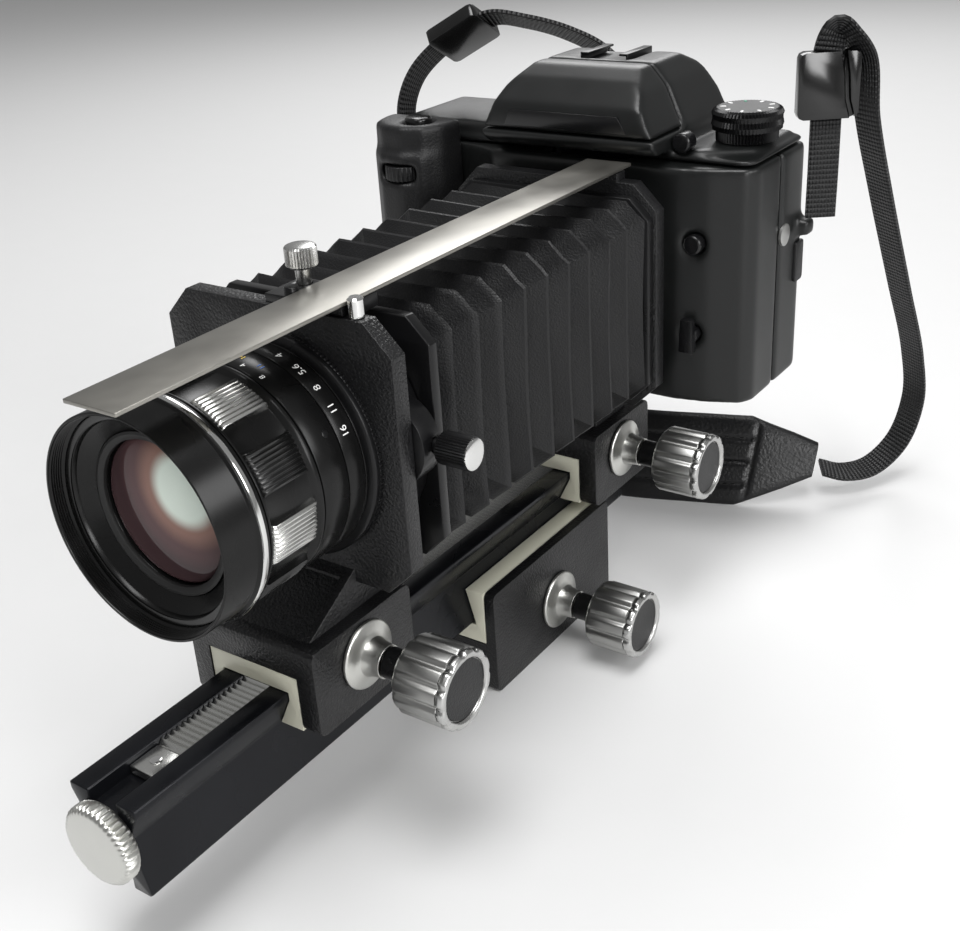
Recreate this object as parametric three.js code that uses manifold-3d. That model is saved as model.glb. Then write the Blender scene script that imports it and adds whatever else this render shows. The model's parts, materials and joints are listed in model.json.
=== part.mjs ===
// Macro bellows unit with a short telephoto lens in front and a digital reflex camera behind.
// Millimetres. +X is the focusing-knob side, +Y runs back along the optical axis, +Z is up.
// The origin is the centre of the underside of the tripod block.
import * as THREE from 'three';
import { mergeVertices } from 'three/addons/utils/BufferGeometryUtils.js';
import Module from 'manifold-3d';

const wasm = await Module();
wasm.setup();

// ---------------------------------------------------------------- driving dimensions
const GAP = 0.3;                  // air left between pieces that touch
const CLEAR = 0.35;               // running clearance round shafts and in the dovetails
const AXIS_Z = 118;               // height of the optical axis

const RAIL_FRONT = -183;
const RAIL_REAR = 64.7;
const RAIL_BOTTOM = 25.6;
const RAIL_WAIST = 42.7;
const RAIL_TOP = 53.9;
const RAIL_HALF = 12.2;           // half width of both dovetails at their widest
const RAIL_WAIST_HALF = 7.8;
const RAIL_LAND = 2.2;            // upright land at the edge of each dovetail
const SLOT_HALF = 5.1;
const SLOT_DEPTH = 4.6;

const PITCH = 2;                  // rack pitch
const TOOTH_TIP = 0.5;            // rack tooth above its pitch line
const TOOTH_ROOT = 0.85;          // rack tooth below its pitch line
const RACK_SINK = 0.5;            // rack teeth stand this far below the rail face
const RACK_START = -158;
const LOWER_RACK_START = -104;
const LOWER_RACK_END = 29;
const UPPER_TEETH = 17;
const LOWER_TEETH = 33;
const SHAFT_R = 2.4;

const BLOCK_HALF = 20.5;
const BLOCK_LENGTH = 76;
const BLOCK_TOP = 38.7;
const LINER_HALF = 16.4;
const LINER_FLOOR = 18.6;
const BLOCK_KNOB_Y = 1.5;
const SOCKET_SMALL_R = 3.2;
const SOCKET_LARGE_R = 4.8;
const SOCKET_DEPTH = 9;
const SOCKET_Y = 27;

const FOOT_HALF = 23.5;
const FOOT_BOTTOM = 42.6;
const FOOT_TOP = 70.2;
const FOOT_LINER_TOP = 60.4;
const FRONT_PLATE_Y = -101;       // front face of the front standard's plate
const REAR_PLATE_Y = 39.6;        // front face of the rear standard's plate
const PLATE_T = 5.6;
const PLATE_HALF = 39.5;
const PLATE_CHAMFER = 8.5;
const PLATE_HOLE_R = 25;
const FRONT_FOOT = [-25.9, 17.5]; // foot's ends, measured from the plate's front face
const REAR_FOOT = [-14.9, 24.4];
const FRONT_PINION_DY = -4.2;
const REAR_PINION_DY = 4.8;
const NECK_HALF = 19;

const KNOB_R = 11.7;
const KNOB_START = 16.9;          // knob body starts this far from the foot's side
const KNOB_END = 35.1;
const KNOB_SIDES = 24;
const FLUTES = 12;
const ESCUTCHEON_R = 10.4;
const COLLAR_R = 4.7;

const RING_OUT_R = 36;            // turning ring behind the front plate
const RING_DEPTH = 10.4;
const LOBE_R = 12.5;
const LOBE_X = 30.2;
const LOCK_Z = 121.5;
const LOCK_DY = 8.2;
const FRAME_HALF_X = 38.6;
const FRAME_HALF_Z = 35.8;
const FRAME_T = 3.6;
const FRAME_CHAMFER = 7;
const SKIN_WALL = 9;

const SCALE_TOP = 161.7;
const SCALE_T = 1.1;
const SCALE_X = 16.6;
const SCALE_HALF = 8.4;
const SCALE_FRONT = -174.8;
const SCALE_REAR = 49.5;
const POST_R = 1.9;

const LENS_R = 31;                // filter rim, outside
const LENS_FRONT = -56.5;         // filter rim's front edge, from the plate's front face
const TRIM_Y = -44;
const TRIM_R = 32.4;
const FOCUS_FRONT = -41;
const FOCUS_REAR = -21;
const FOCUS_LANDS = 10;
const APERTURE_FRONT = -11;
const APERTURE_REAR = -4.6;
const MOUNT_RING_R = 33.4;

const BODY_BOTTOM = 76;
const BODY_DECK = 160;            // shoulder height under the top cover
const BODY_SPLIT = 84;            // front shell meets back shell
const BODY_BACK = 107;
const BODY_RIGHT = 64;
const BODY_LEFT = -82;
const FLANGE_Y = 53;
const NOSE_Y = 47.5;
const NOSE_Z = 163.6;
const HUMP_TOP = 190;
const WALL = 2.4;
const BOX_HALF_X = 20.6;          // mirror box, outside
const BOX_LOW = 100.4;
const BOX_HIGH = 137.6;
const BOX_REAR = 87;
const HINGE_Y = 83.4;             // mirror hinge
const HINGE_Z = 134.6;
const PRISM_HALF = 15;
const PRISM_TOP = 179;
const FLASH_REAR = 72;
const FLASH_LOW = 169.4;
const SHOE_HALF = 9.4;
const SHOE_FRONT = 76;
const SHOE_REAR = 94;
const SHOE_FLOOR = 187.6;
const FLASH_X = 37.6;             // flash button
const FLASH_Z = 170.6;
const RAW_X = 45.2;
const RAW_Z = 134.4;
const RAW_REAR = 60.6;
const FLASH_KEY_REAR = 65.6;
const KEY_R = 3.4;
const KEY_PRESS = 1.2;            // how far each key goes in
const KEY_WELL_R = KEY_R + GAP;
const LEVER_X = 44.6;
const LEVER_Z = 102;
const MODE_X = 51.6;
const MODE_Y = 82;
const MODE_R = 11.8;
const MODE_TOP = 175.6;
const DECK_TOP = 162.4;
const DECK_REAR = BODY_BACK - 0.4;
const GRIP_TOP = 169;
const SHUTTER_X = -63.5;
const SHUTTER_Y = 50.4;
const WHEEL_X = -66.4;            // front control wheel
const WHEEL_Y = 43.4;
const WHEEL_Z = 152;
const WHEEL_R = 7;
const LCD = { x: [-14, 44], z: [92, 136] };
const EYE_HALF = 18;
const EYE_Z = [160.5, 182];
const LUG = 5;

const STRAP_HALF_WIDTH = 5.2;
const STRAP_HALF_THICK = 0.8;
const STRAP_STEPS = 34;
const PAD_HALF_THICK = 2.2;
const PAD_HEIGHT = 35;
const PAD_LEAN = 0.47;            // the pad leans back this much for each millimetre up

const TAU = Math.PI * 2;

// ---------------------------------------------------------------- geometry helpers
function solid(geometry) {
  const plain = geometry.index ? geometry.toNonIndexed() : geometry.clone();
  plain.deleteAttribute('normal');
  plain.deleteAttribute('uv');
  const merged = mergeVertices(plain, 1e-4);
  const vertProperties = new Float32Array(merged.attributes.position.array);
  let triVerts = new Uint32Array(merged.index.array);
  const tris = [];
  for (let i = 0; i < triVerts.length; i += 3) {
    const [a, b, c] = [triVerts[i], triVerts[i + 1], triVerts[i + 2]];
    if (a !== b && b !== c && a !== c) tris.push(a, b, c);
  }
  triVerts = new Uint32Array(tris);
  let volume = 0;
  const p = (i) => new THREE.Vector3().fromArray(vertProperties, 3 * i);
  for (let i = 0; i < triVerts.length; i += 3) {
    volume += p(triVerts[i]).dot(p(triVerts[i + 1]).cross(p(triVerts[i + 2])));
  }
  if (volume < 0) {
    for (let i = 0; i < triVerts.length; i += 3) {
      [triVerts[i], triVerts[i + 1]] = [triVerts[i + 1], triVerts[i]];
    }
  }
  return new wasm.Manifold(new wasm.Mesh({ numProp: 3, vertProperties, triVerts }));
}

function meshOf(name, body, colour, roughness = 0.5, metalness = 0) {
  const { vertProperties, triVerts } = body.getMesh();
  const geometry = new THREE.BufferGeometry();
  geometry.setAttribute('position', new THREE.BufferAttribute(vertProperties, 3));
  geometry.setIndex(new THREE.BufferAttribute(triVerts, 1));
  geometry.computeVertexNormals();
  const material = new THREE.MeshStandardMaterial({ color: colour, roughness, metalness });
  const mesh = new THREE.Mesh(geometry, material);
  mesh.name = name;
  return mesh;
}

function box([x0, x1], [y0, y1], [z0, z1]) {
  const geometry = new THREE.BoxGeometry(x1 - x0, y1 - y0, z1 - z0);
  return solid(geometry.translate((x0 + x1) / 2, (y0 + y1) / 2, (z0 + z1) / 2));
}

function shapeOf(points, holes = []) {
  const shape = new THREE.Shape(points.map(([a, b]) => new THREE.Vector2(a, b)));
  for (const hole of holes) {
    shape.holes.push(new THREE.Path(hole.map(([a, b]) => new THREE.Vector2(a, b))));
  }
  return shape;
}

// Extrusions: outline points are (x, z) along Y, (y, z) along X and (x, y) along Z.
function prismY(points, y0, y1, holes) {
  const geometry = new THREE.ExtrudeGeometry(shapeOf(points, holes), { depth: y1 - y0, bevelEnabled: false });
  return solid(geometry.rotateX(Math.PI / 2).translate(0, y1, 0));
}

function prismX(points, x0, x1, holes) {
  const geometry = new THREE.ExtrudeGeometry(shapeOf(points, holes), { depth: x1 - x0, bevelEnabled: false });
  const turn = new THREE.Matrix4().makeBasis(
    new THREE.Vector3(0, 1, 0), new THREE.Vector3(0, 0, 1), new THREE.Vector3(1, 0, 0));
  return solid(geometry.applyMatrix4(turn).translate(x0, 0, 0));
}

function prismZ(points, z0, z1, holes) {
  const geometry = new THREE.ExtrudeGeometry(shapeOf(points, holes), { depth: z1 - z0, bevelEnabled: false });
  return solid(geometry.translate(0, 0, z0));
}

// Turned pieces: the profile is a list of (radius, position along the axis).
function lathe(profile, axis, [a, b], segments = 32) {
  const points = profile.map(([r, h]) => new THREE.Vector2(r, h));
  const geometry = new THREE.LatheGeometry([...points, points[0]], segments);
  if (axis === 'x') geometry.rotateZ(-Math.PI / 2).translate(0, a, b);
  if (axis === 'y') geometry.translate(a, 0, b);
  if (axis === 'z') geometry.rotateX(Math.PI / 2).translate(a, b, 0);
  return solid(geometry);
}

function rod(r, axis, at, from, to, segments = 24) {
  return lathe([[0, from], [r, from], [r, to], [0, to]], axis, at, segments);
}

function ring(rOut, rIn, axis, at, from, to, segments = 36) {
  return lathe([[rIn, from], [rOut, from], [rOut, to], [rIn, to]], axis, at, segments);
}

function octagon(halfA, halfB, cut, centreB) {
  const corners = [];
  const signs = [[1, -1], [1, 1], [-1, 1], [-1, -1]];
  for (const [sa, sb] of signs) {
    const upright = [sa * halfA, centreB + sb * (halfB - cut)];
    const level = [sa * (halfA - cut), centreB + sb * halfB];
    corners.push(...(sa * sb < 0 ? [level, upright] : [upright, level]));
  }
  return corners;
}

function roundedRect(a0, a1, b0, b1, r, steps = 4) {
  const centres = [[a1 - r, b1 - r, 0], [a0 + r, b1 - r, 1], [a0 + r, b0 + r, 2], [a1 - r, b0 + r, 3]];
  const points = [];
  for (const [a, b, quarter] of centres) {
    for (let i = 0; i <= steps; i++) {
      const t = (quarter + i / steps) * TAU / 4;
      points.push([a + r * Math.cos(t), b + r * Math.sin(t)]);
    }
  }
  return points;
}

function circle(r, a = 0, b = 0, count = 36) {
  return Array.from({ length: count }, (_, i) => {
    const t = i / count * TAU;
    return [a + r * Math.cos(t), b + r * Math.sin(t)];
  });
}

// ---------------------------------------------------------------- rail, racks and pinions
const RACK_PITCH_TOP = RAIL_TOP - RACK_SINK - TOOTH_TIP;
const RACK_PITCH_BOTTOM = RAIL_BOTTOM + RACK_SINK + TOOTH_TIP;
const UPPER_R = UPPER_TEETH * PITCH / TAU;
const LOWER_R = LOWER_TEETH * PITCH / TAU;
const UPPER_PINION_Z = RACK_PITCH_TOP + UPPER_R;
const LOWER_PINION_Z = RACK_PITCH_BOTTOM - LOWER_R;

function mirrored(half) {
  return [...half, ...half.map(([x, z]) => [-x, z]).reverse()];
}

function railBody() {
  const half = [
    [SLOT_HALF, RAIL_BOTTOM + SLOT_DEPTH], [SLOT_HALF, RAIL_BOTTOM],
    [RAIL_HALF - 1, RAIL_BOTTOM], [RAIL_HALF, RAIL_BOTTOM + 1],
    [RAIL_WAIST_HALF, RAIL_WAIST],
    [RAIL_HALF, RAIL_TOP - RAIL_LAND], [RAIL_HALF, RAIL_TOP],
    [SLOT_HALF, RAIL_TOP], [SLOT_HALF, RAIL_TOP - SLOT_DEPTH],
  ];
  return prismY(mirrored(half), RAIL_FRONT, RAIL_REAR);
}

// A rack's teeth are centred on multiples of the pitch; up is +1 on the top face and -1 below.
function rack(start, end, pitchZ, floorZ, up) {
  const line = [];
  for (let y = start; y < end; y += PITCH) {
    line.push([y - PITCH / 2, pitchZ - up * TOOTH_ROOT], [y, pitchZ + up * TOOTH_TIP]);
  }
  const first = line[0][0] - 0.4;
  const last = line[line.length - 1][0] + PITCH / 2;
  const outline = [[first, floorZ], [first, pitchZ - up * TOOTH_ROOT], ...line,
    [last, pitchZ - up * TOOTH_ROOT], [last, floorZ]];
  return prismX(outline, -SLOT_HALF + GAP, SLOT_HALF - GAP);
}

// The pinion stands at (y, z) with a gap between two teeth on the rack tooth under it.
function pinion(teeth, y, z, towardRack, shaftEnd) {
  const r = teeth * PITCH / TAU;
  const offset = ((y % PITCH) + PITCH) % PITCH;
  const gapAngle = towardRack < 0 ? -TAU / 4 - offset / r : TAU / 4 + offset / r;
  const points = [];
  for (let i = 0; i < teeth; i++) {
    const centre = gapAngle + (i + 0.5) / teeth * TAU;
    const root = r - TOOTH_TIP - 0.2;
    const tip = r + TOOTH_ROOT - 0.35;
    for (const [radius, along] of [[root, -PITCH / 2], [tip, 0]]) {
      const t = centre + along / r;
      points.push([y + radius * Math.cos(t), z + radius * Math.sin(t)]);
    }
  }
  const gear = prismX(points, -SLOT_HALF + 1, SLOT_HALF - 1);
  return gear.add(rod(SHAFT_R, 'x', [y, z], -SLOT_HALF - 2, shaftEnd, 16));
}

// ---------------------------------------------------------------- one drive: escutcheon, shaft, knob
function escutcheon(faceX, y, z) {
  const x = faceX + GAP;
  const bore = SHAFT_R + CLEAR;
  return lathe([[bore, x], [ESCUTCHEON_R, x], [ESCUTCHEON_R, x + 0.8], [6.6, x + 1.8],
    [5.2, x + 4], [5, x + 8], [bore, x + 8]], 'x', [y, z], 18);
}

function fluteCutter(x0, x1, y, z, angle) {
  const r = KNOB_R + 1.15;
  return rod(1.9, 'x', [y + r * Math.cos(angle), z + r * Math.sin(angle)], x0, x1, 8);
}

function knob(faceX, y, z) {
  const start = faceX + KNOB_START;
  const end = faceX + KNOB_END;
  const collar = faceX + 8.8;
  const rim = end - 2.4;
  const bore = (SHAFT_R + 0.02) / Math.cos(Math.PI / KNOB_SIDES);
  let body = lathe([[bore, collar], [COLLAR_R, collar], [COLLAR_R, start], [KNOB_R - 1.2, start],
    [KNOB_R, start + 1.4], [KNOB_R, end - 0.7], [KNOB_R - 0.7, end], [KNOB_R - 2.1, end],
    [KNOB_R - 2.1, end - 0.8], [0, end - 0.8], [0, end - 4], [bore, end - 4]], 'x', [y, z], KNOB_SIDES);
  for (let i = 0; i < FLUTES; i++) {
    body = body.subtract(fluteCutter(start + 2, rim, y, z, i / FLUTES * TAU));
  }
  return body;
}

function addDrive(group, names, faceX, y, z, teeth, towardRack) {
  group.add(meshOf(names[0], escutcheon(faceX, y, z), '#c9c9c6', 0.35, 0.9));
  const shaftEnd = faceX + KNOB_END - 4 - GAP;
  const shaft = pinion(teeth, y, z, towardRack, shaftEnd);
  group.add(meshOf(names[1], shaft, '#8f8f8d', 0.4, 0.9));
  group.add(meshOf(names[2], knob(faceX, y, z), '#9b9b98', 0.4, 0.9));
}

// ---------------------------------------------------------------- tripod block
const BLOCK_CAVITY_R = LOWER_R + TOOTH_ROOT + CLEAR;

function lowerDovetail(extra) {
  const slope = (RAIL_HALF - RAIL_WAIST_HALF) / (RAIL_WAIST - RAIL_BOTTOM - 1);
  const top = BLOCK_TOP + 1;
  const halfAt = (z) => RAIL_WAIST_HALF + (RAIL_WAIST - z) * slope + extra;
  return [[RAIL_HALF + extra, RAIL_BOTTOM - extra], [RAIL_HALF + extra, RAIL_BOTTOM + 1],
    [halfAt(top), top]];
}

function drivePocket(y, z, r, faceX) {
  const pocket = rod(r, 'x', [y, z], -SLOT_HALF - 2.6, SLOT_HALF + 0.6, 24);
  return pocket.add(rod(SHAFT_R + CLEAR, 'x', [y, z], 0, faceX + 1, 20));
}

function tripodBlock() {
  const half = BLOCK_LENGTH / 2;
  const outer = prismX(roundedRect(-half, half, 0, BLOCK_TOP, 2.2, 3), -BLOCK_HALF, BLOCK_HALF);
  const cavity = box([-LINER_HALF - GAP, LINER_HALF + GAP], [-half - 1, half + 1], [LINER_FLOOR, BLOCK_TOP + 1]);
  const pocket = drivePocket(BLOCK_KNOB_Y, LOWER_PINION_Z, BLOCK_CAVITY_R, BLOCK_HALF);
  const small = rod(SOCKET_SMALL_R, 'z', [0, -SOCKET_Y], -1, SOCKET_DEPTH, 20);
  const large = rod(SOCKET_LARGE_R, 'z', [0, SOCKET_Y], -1, SOCKET_DEPTH, 24);
  return outer.subtract(cavity).subtract(pocket).subtract(small).subtract(large);
}

function tripodLiner() {
  const half = BLOCK_LENGTH / 2;
  const outer = box([-LINER_HALF, LINER_HALF], [-half, half], [LINER_FLOOR + GAP, BLOCK_TOP - GAP]);
  const channel = prismY(mirrored(lowerDovetail(CLEAR)), -half - 1, half + 1);
  const pocket = drivePocket(BLOCK_KNOB_Y, LOWER_PINION_Z, BLOCK_CAVITY_R, LINER_HALF);
  return outer.subtract(channel).subtract(pocket);
}

// ---------------------------------------------------------------- standards
const FOOT_CAVITY_R = UPPER_R + TOOTH_ROOT + CLEAR;

function footLiner([y0, y1], pinionY) {
  const outer = box([-LINER_HALF, LINER_HALF], [y0 + GAP, y1 - GAP], [FOOT_BOTTOM, FOOT_LINER_TOP - GAP]);
  const slope = (RAIL_HALF - RAIL_WAIST_HALF) / (RAIL_TOP - RAIL_LAND - RAIL_WAIST);
  const low = FOOT_BOTTOM - 1;
  const channel = prismY(mirrored([
    [RAIL_WAIST_HALF + (low - RAIL_WAIST) * slope + CLEAR, low],
    [RAIL_HALF + CLEAR, RAIL_TOP - RAIL_LAND], [RAIL_HALF + CLEAR, RAIL_TOP + CLEAR],
  ]), y0 - 1, y1 + 1);
  const pocket = drivePocket(pinionY, UPPER_PINION_Z, FOOT_CAVITY_R, LINER_HALF);
  return outer.subtract(channel).subtract(pocket);
}

function plate(y0, y1, holeR) {
  const hole = circle(holeR, 0, AXIS_Z);
  return prismY(octagon(PLATE_HALF, PLATE_HALF, PLATE_CHAMFER, AXIS_Z), y0, y1, [hole]);
}

// Casting of one standard: plate, neck and foot. Everything is measured from the plate's front face.
function casting([y0, y1], pinionY, apronY) {
  const foot = prismX(roundedRect(y0, y1, FOOT_BOTTOM, FOOT_TOP, 2.6, 3), -FOOT_HALF, FOOT_HALF);
  const plateBottom = AXIS_Z - PLATE_HALF;
  const neck = prismX([[apronY, FOOT_TOP - 4], [y1 - 4, FOOT_TOP - 4], [PLATE_T + 5, FOOT_TOP + 3],
    [PLATE_T, plateBottom + 4], [0, plateBottom + 4], [apronY, FOOT_TOP - 0.8]], -NECK_HALF, NECK_HALF);
  const cavity = box([-LINER_HALF - GAP, LINER_HALF + GAP], [y0 - 1, y1 + 1], [FOOT_BOTTOM - 1, FOOT_LINER_TOP]);
  const pocket = drivePocket(pinionY, UPPER_PINION_Z, FOOT_CAVITY_R, FOOT_HALF);
  return plate(0, PLATE_T, PLATE_HOLE_R).add(foot).add(neck).subtract(cavity).subtract(pocket);
}

function frontCasting() {
  const apron = FRONT_FOOT[0] + 3;
  const panel = prismX([[apron + 3, FOOT_TOP + 1.2], [-3, AXIS_Z - PLATE_HALF + 1.4],
    [-3, AXIS_Z - PLATE_HALF + 6], [apron + 3, FOOT_TOP + 6]], -NECK_HALF + 3, NECK_HALF - 3);
  const body = casting(FRONT_FOOT, FRONT_PINION_DY, apron).subtract(panel);
  const z = AXIS_Z + PLATE_HALF;
  const post = rod(POST_R, 'z', [SCALE_X + SCALE_HALF + POST_R + 0.4, PLATE_T / 2], z - 1, SCALE_TOP + 1, 16);
  const ringRoom = rod(MOUNT_RING_R + GAP, 'y', [0, AXIS_Z], -3.4 - GAP, -0.01, 36);
  return body.add(post).subtract(ringRoom);
}

function rearCasting() {
  const rest = box([SCALE_X - SCALE_HALF, SCALE_X + SCALE_HALF], [0, PLATE_T],
    [AXIS_Z + PLATE_HALF - 1, SCALE_TOP - SCALE_T - GAP]);
  return casting(REAR_FOOT, REAR_PINION_DY, REAR_FOOT[0] + 8).add(rest);
}

// ---------------------------------------------------------------- bellows
function bellowsFrame(y0, y1) {
  const hole = octagon(FRAME_HALF_X - SKIN_WALL, FRAME_HALF_Z - SKIN_WALL, FRAME_CHAMFER, AXIS_Z);
  return prismY(octagon(FRAME_HALF_X, FRAME_HALF_Z, FRAME_CHAMFER, AXIS_Z), y0, y1, [hole]);
}

function bellowsSkin(y0, y1) {
  const outer = octagon(FRAME_HALF_X - 0.6, FRAME_HALF_Z - 0.6, FRAME_CHAMFER, AXIS_Z);
  const hole = octagon(FRAME_HALF_X - SKIN_WALL, FRAME_HALF_Z - SKIN_WALL, FRAME_CHAMFER, AXIS_Z);
  return prismY(outer, y0, y1, [hole]);
}

function turningRing() {
  const y0 = PLATE_T + GAP;
  const y1 = y0 + RING_DEPTH;
  const disc = ring(RING_OUT_R, PLATE_HOLE_R + 2, 'y', [0, AXIS_Z], y0, y1, 36);
  const lobe = rod(LOBE_R, 'y', [LOBE_X, LOCK_Z], y0, y1 - 3, 24);
  const bore = rod(PLATE_HOLE_R + 2, 'y', [0, AXIS_Z], y0 - 1, y1 + 1, 36);
  const tapped = rod(SHAFT_R, 'x', [LOCK_DY + 3.2, LOCK_Z], LOBE_X, LOBE_X + LOBE_R + 1, 16);
  return disc.add(lobe).subtract(bore).subtract(tapped);
}

function lockScrew() {
  const start = LOBE_X + 4;
  const head = LOBE_X + LOBE_R + 2.6;
  const end = 55.2;
  const y = LOCK_DY + 3.2;
  const shank = rod(SHAFT_R - GAP, 'x', [y, LOCK_Z], start, head + 1, 16);
  return shank.add(lathe([[0, head], [3.9, head], [4.6, head + 0.8], [4.6, end - 0.6], [4.1, end], [0, end]],
    'x', [y, LOCK_Z], 24));
}

// ---------------------------------------------------------------- scale plate and its clamp
const CLAMP_BASE = AXIS_Z + PLATE_HALF + GAP;
const SCREW_X = SCALE_X - SCALE_HALF - 5.6;
const SCREW_Y = 11.4;

function scaleClamp() {
  const z1 = SCALE_TOP - SCALE_T - GAP;
  const x1 = SCALE_X + SCALE_HALF - 0.6;
  const saddle = box([SCREW_X - 4.4, x1], [0.6, 15], [CLAMP_BASE, z1]);
  const leg = box([SCREW_X - 4.4, x1], [PLATE_T + GAP + RING_DEPTH * 0.1, 15], [CLAMP_BASE - 1.6, z1]);
  const leftPost = rod(POST_R, 'z', [SCALE_X - SCALE_HALF - POST_R - 0.4, PLATE_T / 2], z1 - 1, SCALE_TOP + 1, 20);
  const hole = rod(2.1 + GAP, 'z', [SCREW_X, SCREW_Y], CLAMP_BASE - 3, z1 + 1, 16);
  return saddle.add(leg).add(leftPost).subtract(hole);
}

function scaleScrew() {
  const top = SCALE_TOP + 9.4;
  const under = SCALE_TOP + 0.8;
  const at = [SCREW_X, SCREW_Y];
  const spindle = rod(2.1, 'z', at, CLAMP_BASE - 1.4, under + 1, 16);
  return spindle.add(lathe([[0, under], [3.9, under], [4.5, under + 0.8], [4.5, top - 0.7], [3.9, top], [0, top]],
    'z', at, 28));
}

// ---------------------------------------------------------------- lens
function tube(profile, segments = 36) {
  return lathe(profile, 'y', [0, AXIS_Z], segments);
}

function lensFrontBarrel() {
  const f = LENS_FRONT;
  const inner = 19;
  return tube([[28.8, f], [LENS_R - 0.5, f], [LENS_R, f + 0.6], [LENS_R - 1.2, f + 3], [LENS_R - 0.4, TRIM_Y - 1.6],
    [TRIM_R, TRIM_Y - 0.6], [TRIM_R, TRIM_Y + 0.6], [26.2, TRIM_Y + 0.6], [26.2, FOCUS_REAR + 4],
    [inner, FOCUS_REAR + 4], [inner, f + 13.6], [20.6, f + 13.4], [20.6, f + 9], [26.8, f + 8.4],
    [28.4, f + 5]], 36);
}

function focusRing() {
  const valley = LENS_R - 0.9;
  let body = tube([[26.6, FOCUS_FRONT], [valley, FOCUS_FRONT], [valley, FOCUS_REAR], [26.6, FOCUS_REAR]], 30);
  for (let i = 0; i < FOCUS_LANDS; i++) {
    const centre = (27.3 + i * 360 / FOCUS_LANDS) * TAU / 360;
    const half = 11.4 * TAU / 360;
    const outline = [];
    for (const [r, sign] of [[valley - 1, 1], [LENS_R + 0.4, -1]]) {
      for (let k = -1; k <= 1; k++) {
        const t = centre + sign * half * k;
        outline.push([r * Math.cos(t), AXIS_Z + r * Math.sin(t)]);
      }
    }
    body = body.add(prismY(outline, FOCUS_FRONT + 1.4, FOCUS_REAR - 2.8));
  }
  return body;
}

function lensBarrel() {
  return tube([[26.2 + GAP, FOCUS_REAR + GAP], [30.4, FOCUS_REAR + GAP], [30.4, APERTURE_FRONT - GAP],
    [28.4, APERTURE_FRONT - GAP], [28.4, APERTURE_REAR + GAP], [31.2, APERTURE_REAR + GAP], [31.2, -3.7],
    [21.6, -3.7], [21.6, 3], [17, 3], [17, -14], [26.2 + GAP, -14]], 32);
}

function apertureRing() {
  return tube([[28.4 + GAP, APERTURE_FRONT], [30.7, APERTURE_FRONT], [30.7, -7.6], [31.2, -7.4],
    [31.2, APERTURE_REAR], [28.4 + GAP, APERTURE_REAR]], 32);
}

function lensMountRing() {
  return tube([[21.6 + GAP, -3.4], [32.6, -3.4], [MOUNT_RING_R, -2.8], [MOUNT_RING_R, -GAP],
    [PLATE_HOLE_R - GAP, -GAP], [PLATE_HOLE_R - GAP, PLATE_T], [21.6 + GAP, PLATE_T]], 30);
}

function glass(radius, y, bulge, thick) {
  const points = [[0, y - bulge]];
  for (let i = 1; i <= 4; i++) {
    const t = i / 4;
    points.push([radius * t, y - bulge * (1 - t * t)]);
  }
  points.push([radius, y + thick], [0, y + thick]);
  return tube(points, 24);
}

// ---------------------------------------------------------------- camera body
function bodyPlan() {
  return [[BODY_RIGHT, BODY_SPLIT], [BODY_RIGHT, 66], [61.5, 61.5], [50, 57], [38, FLANGE_Y + 1.5],
    [-34, FLANGE_Y + 1.5], [-42, 58], [-50, 60], [-79, 60], [BODY_LEFT, 63], [BODY_LEFT, BODY_SPLIT]];
}

function prismWell() {
  const half = PRISM_HALF + 1.4;
  return box([-half, half], [60.6, 98], [BOX_HIGH - 1, PRISM_TOP + 1]);
}

function bodyFront() {
  const shell = prismZ(bodyPlan(), BODY_BOTTOM, BODY_DECK);
  const hollow = box([BODY_LEFT + WALL, BODY_RIGHT - WALL], [67, BODY_SPLIT + 1],
    [BODY_BOTTOM + WALL, BODY_DECK - WALL]);
  const boxHole = box([-BOX_HALF_X - GAP, BOX_HALF_X + GAP], [FLANGE_Y, 68], [BOX_LOW - GAP, BOX_HIGH + GAP]);
  const lug = box([BODY_LEFT - LUG, BODY_LEFT + 1], [71, 79], [148, 154]);
  return shell.add(lug).subtract(hollow).subtract(boxHole).subtract(prismWell())
    .subtract(rod(KEY_WELL_R, 'y', [RAW_X, RAW_Z], 50, RAW_REAR + KEY_PRESS + GAP, 16))
    .subtract(rod(3.4, 'y', [LEVER_X, LEVER_Z], 50, 61, 16));
}

function bodyBack() {
  const y0 = BODY_SPLIT + GAP;
  const r = 5;
  const corner = (x, sign) => Array.from({ length: 5 }, (_, i) => {
    const t = i / 4 * TAU / 4;
    const across = sign > 0 ? Math.cos(t) : Math.sin(t);
    const along = sign > 0 ? Math.sin(t) : Math.cos(t);
    return [x - sign * (r - r * across), BODY_BACK - r + r * along];
  });
  const rim = [[BODY_RIGHT, y0], ...corner(BODY_RIGHT, 1), ...corner(BODY_LEFT, -1), [BODY_LEFT, y0]];
  const shell = prismZ(rim, BODY_BOTTOM, BODY_DECK);
  const hollow = box([BODY_LEFT + WALL, BODY_RIGHT - WALL], [y0 - 1, BODY_BACK - 6],
    [BODY_BOTTOM + WALL, BODY_DECK - WALL]);
  const lug = box([BODY_RIGHT - 1, BODY_RIGHT + LUG], [97, 104], [128, 134]);
  return shell.add(lug).subtract(hollow).subtract(prismWell());
}

function hump() {
  const side = prismX([[NOSE_Y + 4, NOSE_Z], [DECK_REAR, NOSE_Z - 2], [DECK_REAR, 176], [101, 186], [93, HUMP_TOP],
    [64, HUMP_TOP], [56, HUMP_TOP - 4], [NOSE_Y + 1, 179], [NOSE_Y, 175], [NOSE_Y, NOSE_Z + 3]], -34, 34);
  const front = prismY([[-40, NOSE_Z - 3], [40, NOSE_Z - 3], [32, 172], [27, 183], [20, HUMP_TOP + 1],
    [-20, HUMP_TOP + 1], [-27, 183], [-32, 172]], NOSE_Y - 1, DECK_REAR + 1);
  return side.intersect(front);
}

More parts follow.
